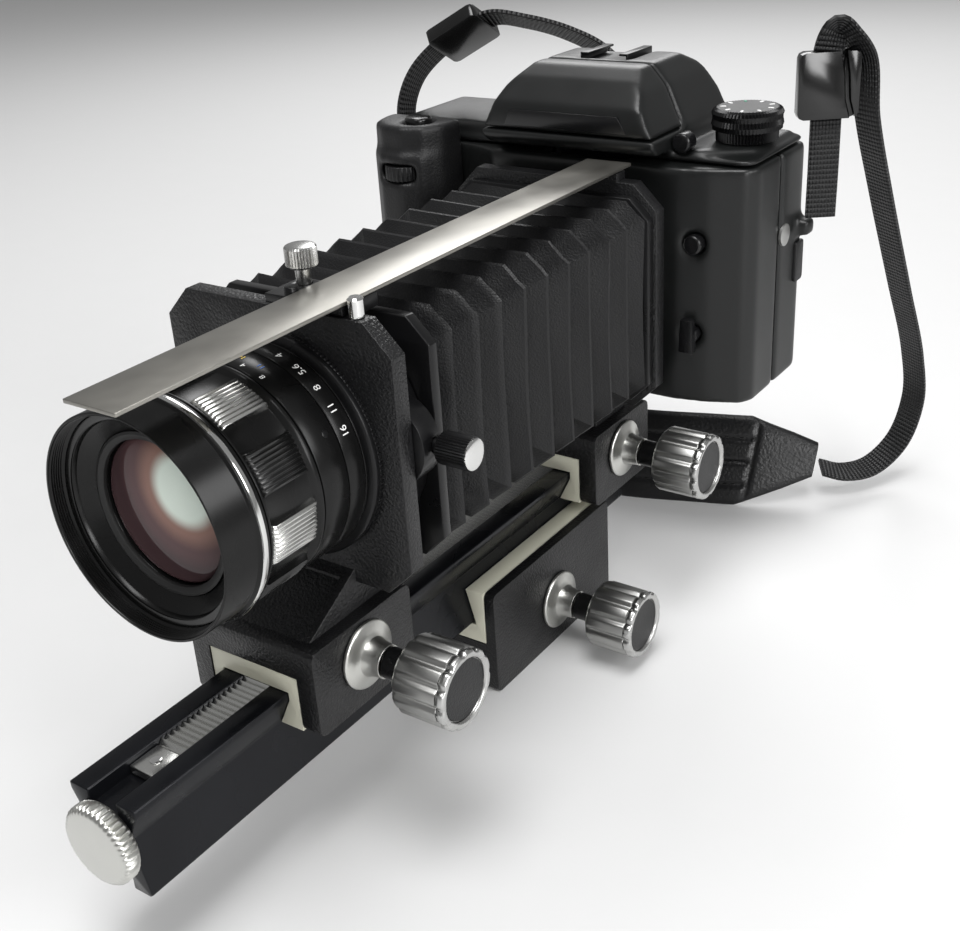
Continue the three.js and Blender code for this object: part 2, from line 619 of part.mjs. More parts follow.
function topCover() {
  const deck = prismZ(roundedRect(BODY_LEFT + 0.4, BODY_RIGHT - 0.4, 60.6, DECK_REAR, 6, 3),
    BODY_DECK + GAP, DECK_TOP);
  const right = prismZ([[25, 60.8], [44, 62.4], [60, 72], [60, 102], [25, 102]], DECK_TOP - 1, 164.4);
  const left = prismZ([[-80, 62.4], [-25, 62.4], [-25, 102], [-80, 102]], DECK_TOP - 1, 167.4);
  const flash = box([-40, 40], [NOSE_Y - 1, FLASH_REAR], [FLASH_LOW, HUMP_TOP + 1]);
  const shoe = box([-SHOE_HALF - GAP, SHOE_HALF + GAP], [SHOE_FRONT - GAP, 107], [SHOE_FLOOR, HUMP_TOP + 1]);
  const dialWell = rod(4 + CLEAR, 'z', [MODE_X, MODE_Y], DECK_TOP - 1.4, MODE_TOP, 16);
  return deck.add(hump()).add(right).add(left).subtract(flash).subtract(shoe).subtract(prismWell())
    .subtract(dialWell)
    .subtract(rod(KEY_WELL_R, 'y', [FLASH_X, FLASH_Z - 4], 50, FLASH_KEY_REAR + KEY_PRESS + GAP, 16));
}

function flashHead() {
  const region = box([-40, 40], [NOSE_Y - 1, FLASH_REAR - GAP], [FLASH_LOW + GAP, HUMP_TOP + 1]);
  const hollow = box([-16, 16], [NOSE_Y + 8, FLASH_REAR - 3], [FLASH_LOW - 1, HUMP_TOP - 6]);
  return hump().intersect(region).subtract(hollow);
}

function hotShoe() {
  const half = SHOE_HALF;
  const floor = SHOE_FLOOR + GAP;
  const outline = [[half, floor], [half, HUMP_TOP + 1.4], [half - 3.4, HUMP_TOP + 1.4],
    [half - 3.4, HUMP_TOP + 0.6], [half - 0.8, HUMP_TOP + 0.6], [half - 0.8, floor + 0.8]];
  return prismY(mirrored(outline.reverse()), SHOE_FRONT, SHOE_REAR);
}

function grip() {
  const plan = [[-50.5, 59.7], [-52, 48], [-56, 40.5], [-64, 36.6], [-73, 38], [-80, 44], [BODY_LEFT, 52],
    [BODY_LEFT, 59.7]];
  const block = prismZ(plan, BODY_BOTTOM + 1, GRIP_TOP - 10);
  const cap = prismZ(plan.map(([x, y]) => [x, y + (59.7 - y) * 0.1]), GRIP_TOP - 10.2, GRIP_TOP);
  const wheel = box([WHEEL_X - WHEEL_R - 0.6, WHEEL_X + WHEEL_R + 0.6], [30, WHEEL_Y + WHEEL_R + 0.6],
    [WHEEL_Z - 3, WHEEL_Z + 3]);
  const well = rod(5 + CLEAR, 'z', [SHUTTER_X, SHUTTER_Y], GRIP_TOP - 5, GRIP_TOP + 2, 20);
  return block.add(cap).subtract(wheel).subtract(well);
}

function knurledDisc(r, [x, y], from, to, teeth, depth) {
  const points = Array.from({ length: teeth * 2 }, (_, i) => {
    const t = i / (teeth * 2) * TAU;
    const radius = i % 2 ? r - depth : r;
    return [x + radius * Math.cos(t), y + radius * Math.sin(t)];
  });
  return prismZ(points, from, to);
}

function modeDial() {
  const at = [MODE_X, MODE_Y];
  const base = 164.4 + GAP;
  const dial = knurledDisc(MODE_R, at, base + 3.6, MODE_TOP, 20, 0.6);
  return dial.add(rod(MODE_R - 1.2, 'z', at, base, base + 3.8, 24)).add(rod(4, 'z', at, DECK_TOP - 1, base + 1, 16));
}

function button(axis, at, r, from, to) {
  const rim = 0.6;
  const profile = from < to
    ? [[0, from], [r, from], [r, to - rim], [r - rim, to], [0, to]]
    : [[0, to], [r - rim, to], [r, to + rim], [r, from], [0, from]];
  return lathe(profile, axis, at, 20);
}

function afLever() {
  const pivot = rod(3, 'y', [LEVER_X, LEVER_Z], 54.2, 60.6, 14);
  const arm = prismY([[LEVER_X - 2.6, LEVER_Z - 5.4], [LEVER_X + 2.6, LEVER_Z - 5.4],
    [LEVER_X + 2, LEVER_Z + 6.4], [LEVER_X - 2, LEVER_Z + 6.4]], 51.4, 54.6);
  return pivot.add(arm);
}

function mirrorBox() {
  const y0 = FLANGE_Y + 1.2 + GAP;
  const outer = box([-BOX_HALF_X, BOX_HALF_X], [y0, BOX_REAR], [BOX_LOW, BOX_HIGH]);
  const inner = box([-BOX_HALF_X + 1.6, BOX_HALF_X - 1.6], [y0 - 1, BOX_REAR + 1], [BOX_LOW + 1.6, BOX_HIGH - 1.6]);
  const screen = box([-13, 13], [60, 82], [BOX_HIGH - 3, BOX_HIGH + 1]);
  return outer.subtract(inner).subtract(screen);
}

function mirror() {
  const glassPlate = box([-BOX_HALF_X + 2.2, BOX_HALF_X - 2.2], [-28, 0.6], [-0.7, 0.7]);
  const geometry = glassPlate.rotate([45, 0, 0]).translate([0, HINGE_Y, HINGE_Z]);
  return geometry;
}

function pentaprism() {
  const low = BOX_HIGH + GAP;
  return prismX([[62, low], [90, low], [95, 163], [90, 176], [77, PRISM_TOP - 1], [62, 150]],
    -PRISM_HALF, PRISM_HALF);
}

function eyecup() {
  const y0 = DECK_REAR + GAP;
  const outer = prismY(roundedRect(-EYE_HALF, EYE_HALF, ...EYE_Z, 5, 3), y0, y0 + 6);
  const window = box([-9, 9], [y0 - 1, y0 + 7], [EYE_Z[0] + 5, EYE_Z[1] - 5]);
  return outer.subtract(window);
}

// ---------------------------------------------------------------- neck strap
const RIGHT_WEB = [[71.4, 101.6, 134.6], [71.5, 101.6, 150], [71.4, 101.6, 168], [71.4, 101.6, 192],
  [73.2, 102.6, 198.6], [76.2, 106, 190], [77, 109, 169], [80, 127, 138], [86, 149, 97.5], [88.5, 169, 62],
  [88, 178, 37.5], [84, 175, 19], [77, 164, 10], [69, 153, 10], [61.4, 147.2, 13]];
const LEFT_WEB = [[-86, 75, 154.6], [-88.4, 75.6, 166], [-86, 80, 178], [-79, 87, 187.6], [-70, 91, 193],
  [-59, 94.6, 198.6], [-46, 99, 197], [-34, 108, 192], [-24, 117, 184], [-16, 125, 168], [-16, 130, 145],
  [-24, 134, 110], [-38, 136, 72], [-56, 134, 42], [-66, 126, 26], [-62, 117, 18], [-52, 113.6, 15]];
const PAD_LINE = [[59.6, 146], [37, 133], [18, 126], [-14, 116], [-50, 113.6]];
const PAD_TIP = 6;                // half height of the pad's two ends

function bandAlong(points, steps, extra = 0) {
  const curve = new THREE.CatmullRomCurve3(points.map((p) => new THREE.Vector3(...p)), false, 'centripetal');
  const w = STRAP_HALF_WIDTH + extra;
  const t = STRAP_HALF_THICK + extra;
  const section = shapeOf([[w, -t / 2], [w, t / 2], [w / 2, t], [-w / 2, t], [-w, t / 2], [-w, -t / 2],
    [-w / 2, -t], [w / 2, -t]]);
  return solid(new THREE.ExtrudeGeometry(section, { steps, extrudePath: curve, bevelEnabled: false }));
}

// A slide buckle round the webbing. It spins about its own length first; turn is then about X, Y and Z.
function buckle(at, spin, turn, path) {
  const [w, h, t] = [10.2, 11, 2.6];
  const frame = prismX(roundedRect(-w, w, -h, h, 2, 2), -t, t).rotate([0, 0, spin]).rotate(turn).translate(at);
  return frame.subtract(bandAlong(path, STRAP_STEPS, GAP));
}

function strapPad() {
  const left = [];
  const right = [];
  PAD_LINE.forEach(([x, y], i) => {
    const [px, py] = PAD_LINE[Math.max(i - 1, 0)];
    const [nx, ny] = PAD_LINE[Math.min(i + 1, PAD_LINE.length - 1)];
    const length = Math.hypot(nx - px, ny - py);
    const [ox, oy] = [(ny - py) / length * PAD_HALF_THICK, -(nx - px) / length * PAD_HALF_THICK];
    left.push([x + ox, y + oy]);
    right.unshift([x - ox, y - oy]);
  });
  const slab = prismZ([...left, ...right], 0, PAD_HEIGHT);
  const middle = PAD_HEIGHT / 2;
  const face = prismY([[-52, middle - PAD_TIP], [-28, 0], [34, 0], [61, middle - PAD_TIP],
    [61, middle + PAD_TIP], [34, PAD_HEIGHT], [-28, PAD_HEIGHT], [-52, middle + PAD_TIP]], 90, 170);
  const lean = slab.intersect(face).warp((v) => {
    v[1] += (v[2] - middle) * PAD_LEAN;
  });
  return lean.translate([0, -2, GAP / 3]);
}

const group = new THREE.Group();
const black = '#1b1b1c';

function addRail() {
  group.add(meshOf('rail', railBody(), '#15161a', 0.35, 0.6));
  const upper = rack(RACK_START, RAIL_REAR - 2, RACK_PITCH_TOP, RAIL_TOP - SLOT_DEPTH + GAP, 1);
  group.add(meshOf('upper_rack', upper, '#c8c8c6', 0.25, 1));
  const lower = rack(LOWER_RACK_START, LOWER_RACK_END, RACK_PITCH_BOTTOM, RAIL_BOTTOM + SLOT_DEPTH - GAP, -1);
  group.add(meshOf('lower_rack', lower, '#c8c8c6', 0.25, 1));
  const stop = box([-SLOT_HALF + GAP, SLOT_HALF - GAP], [RACK_START - 11.6, RACK_START - 1.6],
    [RAIL_TOP - SLOT_DEPTH + GAP, RAIL_TOP - 1.5]);
  group.add(meshOf('rack_stop', stop, '#d4d4d0', 0.2, 1));
  const at = [1.2, 42];
  const knobEnd = lathe([[0, RAIL_FRONT - 6.2], [10.9, RAIL_FRONT - 6.2], [11.8, RAIL_FRONT - 5.4],
    [11.8, RAIL_FRONT - 1.2], [10.9, RAIL_FRONT - GAP], [0, RAIL_FRONT - GAP]], 'y', at, 32);
  group.add(meshOf('rail_end_knob', knobEnd, '#cfd0cc', 0.35, 0.9));
}

function addBlock() {
  group.add(meshOf('tripod_block', tripodBlock(), black, 0.7, 0.2));
  group.add(meshOf('tripod_liner', tripodLiner(), '#deddc8', 0.5));
  addDrive(group, ['tripod_escutcheon', 'tripod_pinion', 'tripod_knob'], BLOCK_HALF, BLOCK_KNOB_Y,
    LOWER_PINION_Z, LOWER_TEETH, 1);
}

function standard(prefix, plateY, foot, pinionDy, body) {
  const part = new THREE.Group();
  part.position.y = plateY;
  part.add(meshOf(`${prefix}_standard`, body, black, 0.75, 0.2));
  part.add(meshOf(`${prefix}_liner`, footLiner(foot, pinionDy), '#deddc8', 0.5));
  group.add(part);
  const names = [`${prefix}_escutcheon`, `${prefix}_pinion`, `${prefix}_knob`];
  addDrive(group, names, FOOT_HALF, plateY + pinionDy, UPPER_PINION_Z, UPPER_TEETH, -1);
  return part;
}

function addFront() {
  const front = standard('front', FRONT_PLATE_Y, FRONT_FOOT, FRONT_PINION_DY, frontCasting());
  front.add(meshOf('turning_ring', turningRing(), black, 0.6, 0.3));
  const frameY = PLATE_T + GAP + RING_DEPTH + GAP;
  front.add(meshOf('bellows_front_frame', bellowsFrame(frameY, frameY + FRAME_T), black, 0.5, 0.3));
  front.add(meshOf('bellows_lock_screw', lockScrew(), '#d2d2d0', 0.25, 0.9));
  front.add(meshOf('scale_clamp', scaleClamp(), '#a9a99f', 0.4, 0.8));
  front.add(meshOf('scale_thumb_screw', scaleScrew(), '#d8d8d6', 0.15, 1));
  front.add(meshOf('lens_mount_ring', lensMountRing(), black, 0.5, 0.5));
  front.add(meshOf('lens_barrel', lensBarrel(), '#141414', 0.25, 0.3));
  front.add(meshOf('aperture_ring', apertureRing(), '#141414', 0.25, 0.3));
  front.add(meshOf('focus_ring', focusRing(), '#141414', 0.25, 0.3));
  front.add(meshOf('lens_front_barrel', lensFrontBarrel(), '#141414', 0.2, 0.3));
  front.add(meshOf('front_glass', glass(20.2, LENS_FRONT + 11.6, 2.4, 1.6), '#8a7f8f', 0.05));
  front.add(meshOf('rear_glass', glass(16.6, -6, 1.4, 2.2), '#8a8f8a', 0.05));
  const skinFrom = FRONT_PLATE_Y + frameY + FRAME_T + GAP;
  const skinTo = REAR_PLATE_Y - GAP - FRAME_T - GAP;
  group.add(meshOf('bellows_skin', bellowsSkin(skinFrom, skinTo), '#161616', 0.8));
}

function addRear() {
  const rear = standard('rear', REAR_PLATE_Y, REAR_FOOT, REAR_PINION_DY, rearCasting());
  rear.add(meshOf('bellows_rear_frame', bellowsFrame(-GAP - FRAME_T, -GAP), black, 0.5, 0.3));
  const adapter = tube([[22, PLATE_T + GAP], [31, PLATE_T + GAP], [31, FLANGE_Y - REAR_PLATE_Y - 2.3],
    [22, FLANGE_Y - REAR_PLATE_Y - 2.3]], 28);
  rear.add(meshOf('camera_mount_ring', adapter, '#2a2a2a', 0.4, 0.6));
  const plateShape = box([SCALE_X - SCALE_HALF, SCALE_X + SCALE_HALF], [SCALE_FRONT, SCALE_REAR],
    [SCALE_TOP - SCALE_T, SCALE_TOP]);
  group.add(meshOf('scale_plate', plateShape, '#8d8a80', 0.35, 0.9));
}

function addCamera() {
  const put = (name, body, colour, roughness, metalness) => {
    group.add(meshOf(name, body, colour, roughness, metalness));
  };
  put('body_front_shell', bodyFront(), '#202122', 0.6);
  put('body_back_shell', bodyBack(), '#202122', 0.6);
  put('body_top_cover', topCover(), '#1d1e1f', 0.55);
  put('grip', grip(), '#1a1a1b', 0.8);
  put('body_mount_ring', lathe([[22.4, FLANGE_Y - 2], [33, FLANGE_Y - 2], [33, FLANGE_Y + 1.2],
    [22.4, FLANGE_Y + 1.2]], 'y', [0, AXIS_Z], 28), '#b9b9b6', 0.3, 1);
  put('mirror_box', mirrorBox(), '#101010', 0.9);
  put('mirror', mirror(), '#c0c4c8', 0.05, 1);
  put('pentaprism', pentaprism(), '#a9b4bb', 0.05);
  put('image_sensor', box([-BOX_HALF_X, BOX_HALF_X], [BOX_REAR + GAP, BOX_REAR + 2.6], [BOX_LOW, BOX_HIGH]),
    '#31463d', 0.2);
  put('flash_head', flashHead(), '#1d1e1f', 0.55);
  put('hot_shoe', hotShoe(), '#8c8c8a', 0.3, 0.9);
  put('mode_dial', modeDial(), '#161616', 0.5);
  put('shutter_button', button('z', [SHUTTER_X, SHUTTER_Y], 5, GRIP_TOP - 3.4, GRIP_TOP + 1.6), '#2a2a2b', 0.3, 0.4);
  put('front_dial', knurledDisc(WHEEL_R, [WHEEL_X, WHEEL_Y], WHEEL_Z - 2.6, WHEEL_Z + 2.6, 24, 0.5), '#181818', 0.6);
  put('flash_button', button('y', [FLASH_X, FLASH_Z - 4], KEY_R, FLASH_KEY_REAR, 60), '#26272a', 0.3);
  put('raw_button', button('y', [RAW_X, RAW_Z], KEY_R, RAW_REAR, 53.8), '#26272a', 0.3);
  put('af_lever', afLever(), '#1c1c1d', 0.5);
  put('lcd_window', prismY(roundedRect(...LCD.x, ...LCD.z, 2, 2), BODY_BACK + GAP, BODY_BACK + 1.8), '#0b0c0e', 0.08);
  put('eyecup', eyecup(), '#141414', 0.9);
}

function addStrap() {
  const web = '#17181a';
  group.add(meshOf('strap_right_webbing', bandAlong(RIGHT_WEB, STRAP_STEPS), web, 0.8));
  group.add(meshOf('strap_left_webbing', bandAlong(LEFT_WEB, STRAP_STEPS), web, 0.8));
  group.add(meshOf('strap_right_buckle', buckle([71.4, 101.6, 180], 0, [0, 0, 0], RIGHT_WEB), '#131314', 0.3));
  group.add(meshOf('strap_left_buckle', buckle([-70, 91, 193], -35, [0, 61, 17], LEFT_WEB), '#131314', 0.3));
  group.add(meshOf('strap_pad', strapPad(), '#141415', 0.6));
}

addRail();
addBlock();
addFront();
addRear();
addCamera();
addStrap();

export default group;
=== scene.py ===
"""Visual model of a macro bellows unit with a reflex camera, in metres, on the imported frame."""

import json
import logging
import math
from dataclasses import dataclass, field
from enum import Enum
from typing import Iterable, Sequence

import bmesh
import bpy
from mathutils import Matrix, Vector

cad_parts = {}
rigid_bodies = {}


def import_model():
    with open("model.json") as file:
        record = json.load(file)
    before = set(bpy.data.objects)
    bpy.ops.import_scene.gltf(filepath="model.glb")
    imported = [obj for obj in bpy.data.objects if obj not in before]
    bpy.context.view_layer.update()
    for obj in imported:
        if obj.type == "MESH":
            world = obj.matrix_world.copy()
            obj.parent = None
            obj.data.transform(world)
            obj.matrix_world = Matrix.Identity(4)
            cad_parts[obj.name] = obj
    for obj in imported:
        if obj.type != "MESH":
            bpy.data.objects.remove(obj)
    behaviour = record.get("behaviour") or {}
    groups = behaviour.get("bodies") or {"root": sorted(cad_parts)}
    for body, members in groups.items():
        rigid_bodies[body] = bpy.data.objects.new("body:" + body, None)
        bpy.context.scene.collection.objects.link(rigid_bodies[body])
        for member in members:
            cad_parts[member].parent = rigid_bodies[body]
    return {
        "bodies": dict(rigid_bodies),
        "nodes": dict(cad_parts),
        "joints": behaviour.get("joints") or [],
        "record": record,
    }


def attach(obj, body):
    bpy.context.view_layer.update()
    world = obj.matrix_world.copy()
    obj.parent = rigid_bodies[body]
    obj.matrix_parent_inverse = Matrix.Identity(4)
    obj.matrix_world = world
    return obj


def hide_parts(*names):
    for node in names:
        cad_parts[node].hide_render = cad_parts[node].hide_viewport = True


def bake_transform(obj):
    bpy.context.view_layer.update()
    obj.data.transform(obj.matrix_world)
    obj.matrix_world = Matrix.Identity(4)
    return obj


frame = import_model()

MM = 0.001
AXIS_Z = 118.0
LOG = logging.getLogger("bellows_unit")
Loop = list[tuple[float, float, float]]
Profile = Sequence[tuple[float, float]]


# ---------------------------------------------------------------- finishes
class Grain(Enum):
    """Kinds of fine relief that a finish can have."""

    NONE = "none"
    CELLS = "cells"
    FINE = "fine"
    BRUSHED_Y = "brushed along Y"
    TURNED = "turned"
    RIBBED = "ribbed webbing"


def group_socket(tree: bpy.types.NodeTree, name: str, out: bool, kind: str = "NodeSocketFloat") -> None:
    """Adds one named socket to a node group."""
    tree.interface.new_socket(name=name, in_out="OUTPUT" if out else "INPUT", socket_type=kind)


def math_node(tree: bpy.types.NodeTree, kind: str, a: object, b: object = 0.0) -> bpy.types.NodeSocket:
    """Adds a Math node.

    Args:
        tree: the node tree.
        kind: the operation.
        a: first value or socket.
        b: second value or socket.

    Returns:
        The node's output socket.
    """
    node = tree.nodes.new("ShaderNodeMath")
    node.operation = kind
    for socket, value in zip(node.inputs, (a, b)):
        if isinstance(value, bpy.types.NodeSocket):
            tree.links.new(value, socket)
        else:
            socket.default_value = value
    return node.outputs[0]


def cell_grain_group() -> bpy.types.NodeTree:
    """Node group of rounded cells over a slow wave, for enamel, leather and moulded texture.

    Returns:
        The group, with Scale and Roughen in, and Height and Mottle out.
    """
    tree = bpy.data.node_groups.get("cell_grain")
    if tree:
        return tree
    tree = bpy.data.node_groups.new("cell_grain", "ShaderNodeTree")
    group_socket(tree, "Scale", False)
    group_socket(tree, "Roughen", False)
    group_socket(tree, "Height", True)
    group_socket(tree, "Mottle", True)
    into = tree.nodes.new("NodeGroupInput")
    out = tree.nodes.new("NodeGroupOutput")
    place = tree.nodes.new("ShaderNodeTexCoord")
    cells = tree.nodes.new("ShaderNodeTexVoronoi")
    cells.feature = "SMOOTH_F1"
    noise = tree.nodes.new("ShaderNodeTexNoise")
    noise.inputs["Detail"].default_value = 3
    slow = tree.nodes.new("ShaderNodeTexNoise")
    slow.inputs["Scale"].default_value = 45
    slow.inputs["Detail"].default_value = 4
    for node in (cells, noise, slow):
        tree.links.new(place.outputs["Object"], node.inputs["Vector"])
    tree.links.new(into.outputs["Scale"], cells.inputs["Scale"])
    finer = math_node(tree, "MULTIPLY", into.outputs["Scale"], 2.3)
    tree.links.new(finer, noise.inputs["Scale"])
    rough = math_node(tree, "MULTIPLY", noise.outputs[0], into.outputs["Roughen"])
    dome = math_node(tree, "SUBTRACT", 1.0, cells.outputs["Distance"])
    tree.links.new(math_node(tree, "ADD", dome, rough), out.inputs["Height"])
    tree.links.new(slow.outputs[0], out.inputs["Mottle"])
    return tree


def line_grain_group() -> bpy.types.NodeTree:
    """Node group of fine stretched lines, for brushed and turned metal.

    Returns:
        The group, with Stretch in, and Height and Mottle out.
    """
    tree = bpy.data.node_groups.get("line_grain")
    if tree:
        return tree
    tree = bpy.data.node_groups.new("line_grain", "ShaderNodeTree")
    group_socket(tree, "Stretch", False, "NodeSocketVector")
    group_socket(tree, "Height", True)
    group_socket(tree, "Mottle", True)
    into = tree.nodes.new("NodeGroupInput")
    out = tree.nodes.new("NodeGroupOutput")
    place = tree.nodes.new("ShaderNodeTexCoord")
    scale = tree.nodes.new("ShaderNodeVectorMath")
    scale.operation = "MULTIPLY"
    tree.links.new(place.outputs["Object"], scale.inputs[0])
    tree.links.new(into.outputs["Stretch"], scale.inputs[1])
    lines = tree.nodes.new("ShaderNodeTexNoise")
    lines.inputs["Scale"].default_value = 1
    lines.inputs["Detail"].default_value = 2
    tree.links.new(scale.outputs[0], lines.inputs["Vector"])
    slow = tree.nodes.new("ShaderNodeTexNoise")
    slow.inputs["Scale"].default_value = 60
    tree.links.new(place.outputs["Object"], slow.inputs["Vector"])
    tree.links.new(lines.outputs[0], out.inputs["Height"])
    tree.links.new(slow.outputs[0], out.inputs["Mottle"])
    return tree


@dataclass(frozen=True)
class Finish:
    """One surface finish: its colours, gloss and fine relief.

    Attributes:
        name: the material's name.
        slot: the record's material slot.
        colour: base colour, linear.
        roughness: base roughness.
        metallic: metallic weight.
        grain: the kind of relief.
        size: size of the grain in millimetres.
        depth: height of the grain in millimetres.
        mottle: share by which colour and roughness vary.
        coat: clear coat weight.
        roughen: share of fine noise on the cells.
        shine: specular level.
    """

    name: str
    slot: str
    colour: tuple[float, float, float]
    roughness: float
    metallic: float = 0.0
    grain: Grain = Grain.FINE
    size: float = 0.5
    depth: float = 0.02
    mottle: float = 0.2
    coat: float = 0.0
    roughen: float = 0.5
    shine: float = 0.5

    def relief(self, tree: bpy.types.NodeTree) -> tuple[bpy.types.NodeSocket, bpy.types.NodeSocket]:
        """Adds the grain group.

        Args:
            tree: the material's node tree.

        Returns:
            The height and the mottle sockets.
        """
        node = tree.nodes.new("ShaderNodeGroup")
        if self.grain in (Grain.BRUSHED_Y, Grain.TURNED):
            node.node_tree = line_grain_group()
            fine = 1000 / self.size
            stretch = (fine, fine / 60, fine) if self.grain is Grain.BRUSHED_Y else (fine / 5, fine, fine / 5)
            node.inputs["Stretch"].default_value = stretch
        else:
            node.node_tree = cell_grain_group()
            node.inputs["Scale"].default_value = 1000 / self.size
            node.inputs["Roughen"].default_value = self.roughen
        return node.outputs["Height"], node.outputs["Mottle"]

    def ribs(self, tree: bpy.types.NodeTree) -> bpy.types.NodeSocket:
        """Adds cross ribs with a fine weave along the UV map of a webbing.

        Args:
            tree: the material's node tree.

        Returns:
            The height socket.
        """
        place = tree.nodes.new("ShaderNodeTexCoord")
        parts = tree.nodes.new("ShaderNodeSeparateXYZ")
        tree.links.new(place.outputs["UV"], parts.inputs[0])
        along = math_node(tree, "SINE", math_node(tree, "MULTIPLY", parts.outputs[1], math.tau / self.size))
        across = math_node(tree, "SINE", math_node(tree, "MULTIPLY", parts.outputs[0], math.tau * 9))
        return math_node(tree, "ADD", math_node(tree, "ABSOLUTE", along), math_node(tree, "MULTIPLY", across, 0.25))

    def material(self) -> bpy.types.Material:
        """The Blender material, made once.

        Returns:
            The material.
        """
        made = bpy.data.materials.get(self.name)
        if made:
            return made
        made = bpy.data.materials.new(self.name)
        made.use_nodes = True
        tree = made.node_tree
        shader = tree.nodes["Principled BSDF"]
        shader.inputs["Metallic"].default_value = self.metallic
        shader.inputs["Coat Weight"].default_value = self.coat
        shader.inputs["Specular IOR Level"].default_value = self.shine
        height, mottle = self.relief(tree)
        if self.grain is Grain.RIBBED:
            height = self.ribs(tree)
        shade = tree.nodes.new("ShaderNodeMix")
        shade.data_type = "RGBA"
        tree.links.new(mottle, shade.inputs["Factor"])
        low = [c * (1 - self.mottle) for c in self.colour]
        high = [min(c * (1 + self.mottle), 1) for c in self.colour]
        shade.inputs[6].default_value = (*low, 1)
        shade.inputs[7].default_value = (*high, 1)
        tree.links.new(shade.outputs[2], shader.inputs["Base Color"])
        spread = math_node(tree, "MULTIPLY", math_node(tree, "SUBTRACT", mottle, 0.5), self.mottle)
        tree.links.new(math_node(tree, "ADD", spread, self.roughness), shader.inputs["Roughness"])
        if self.grain is not Grain.NONE:
            bump = tree.nodes.new("ShaderNodeBump")
            bump.inputs["Distance"].default_value = self.depth * MM
            tree.links.new(height, bump.inputs["Height"])
            tree.links.new(bump.outputs[0], shader.inputs["Normal"])
        return made


ENAMEL = Finish("crinkle_enamel", "enamel", (0.006, 0.006, 0.0065), 0.36, 0.0, Grain.CELLS, 0.8, 0.22, 0.35, shine=0.42)
ANODISED = Finish("satin_anodised_rail", "anodised", (0.008, 0.0085, 0.0105), 0.26, 0.5, Grain.BRUSHED_Y, 0.12, 0.004, 0.3, shine=0.4)
BLACK_METAL = Finish("black_metal", "anodised", (0.006, 0.006, 0.0065), 0.3, 0.3, Grain.FINE, 0.2, 0.006, 0.2, shine=0.4)
NYLON = Finish("cream_nylon", "nylon", (0.62, 0.61, 0.50), 0.42, 0.0, Grain.FINE, 0.5, 0.008, 0.08)
STEEL = Finish("bright_steel", "steel", (0.62, 0.62, 0.60), 0.24, 1.0, Grain.FINE, 0.3, 0.006, 0.12)
CHROME = Finish("chrome", "steel", (0.72, 0.72, 0.71), 0.12, 1.0, Grain.NONE, mottle=0.05)
SATIN = Finish("satin_aluminium", "satin_aluminium", (0.40, 0.40, 0.39), 0.36, 1.0, Grain.TURNED, 0.15, 0.008, 0.12)
DARK_SATIN = Finish("fluted_aluminium", "satin_aluminium", (0.36, 0.36, 0.35), 0.34, 1.0, Grain.TURNED, 0.15, 0.008, 0.15)
NICKEL = Finish("satin_nickel", "steel", (0.60, 0.60, 0.57), 0.30, 1.0, Grain.FINE, 0.2, 0.01, 0.12)
SCALE = Finish("dull_scale_steel", "steel", (0.30, 0.29, 0.265), 0.36, 0.9, Grain.BRUSHED_Y, 0.2, 0.01, 0.25)
LENS_BLACK = Finish("lens_enamel", "lens_black", (0.004, 0.004, 0.004), 0.2, 0.0, Grain.NONE, mottle=0.1, shine=0.45)
LENS_SATIN = Finish("lens_satin_black", "lens_black", (0.016, 0.016, 0.016), 0.27, 0.75, Grain.TURNED, 0.12, 0.004, 0.12)
LAND_BRIGHT = Finish("bright_land", "steel", (0.66, 0.66, 0.64), 0.22, 1.0, Grain.FINE, 0.3, 0.004, 0.08)
RIM = Finish("satin_rim", "satin_aluminium", (0.50, 0.50, 0.49), 0.27, 1.0, Grain.FINE, 0.25, 0.006, 0.1)
LENS_MATT = Finish("lens_inner_black", "lens_black", (0.006, 0.006, 0.006), 0.55, 0.0, Grain.FINE, 0.3, 0.01)
SKIN = Finish("bellows_leatherette", "leatherette", (0.0035, 0.0035, 0.004), 0.42, 0.0, Grain.CELLS, 0.55, 0.09, 0.3, shine=0.4)
BODY = Finish("body_texture", "body_plastic", (0.0055, 0.006, 0.006), 0.36, 0.0, Grain.CELLS, 0.32, 0.02, 0.2, shine=0.42)
BODY_SMOOTH = Finish("smooth_body_plastic", "body_plastic", (0.005, 0.005, 0.0055), 0.24, 0.0, Grain.FINE, 0.2, 0.004, 0.2, shine=0.42)
RUBBER = Finish("pebbled_rubber", "rubber", (0.0055, 0.0055, 0.006), 0.46, 0.0, Grain.CELLS, 0.7, 0.08, 0.25, shine=0.4)
WEBBING = Finish("ribbed_webbing", "webbing", (0.004, 0.004, 0.0045), 0.46, 0.0, Grain.RIBBED, 3.4, 0.5, 0.3, shine=0.45)
GLOSS = Finish("gloss_black_plastic", "buckle_plastic", (0.004, 0.004, 0.004), 0.16, 0.0, Grain.NONE, mottle=0.1)
LEATHER = Finish("pad_leather", "leather", (0.005, 0.005, 0.0055), 0.34, 0.0, Grain.CELLS, 1.1, 0.12, 0.3, shine=0.42)
WHITE = Finish("white_mark", "body_plastic", (0.75, 0.75, 0.74), 0.5, 0.0, Grain.NONE)
GREEN = Finish("green_mark", "body_plastic", (0.02, 0.22, 0.13), 0.45, 0.0, Grain.NONE)
YELLOW = Finish("yellow_mark", "lens_black", (0.60, 0.42, 0.03), 0.5, 0.0, Grain.NONE)
BLUE = Finish("blue_mark", "lens_black", (0.05, 0.18, 0.60), 0.5, 0.0, Grain.NONE)
SCREEN = Finish("screen_window", "screen", (0.004, 0.004, 0.005), 0.06, 0.0, Grain.NONE, coat=1.0)
MIRROR = Finish("silvered_mirror", "mirror", (0.85, 0.86, 0.87), 0.03, 1.0, Grain.NONE, mottle=0.02)
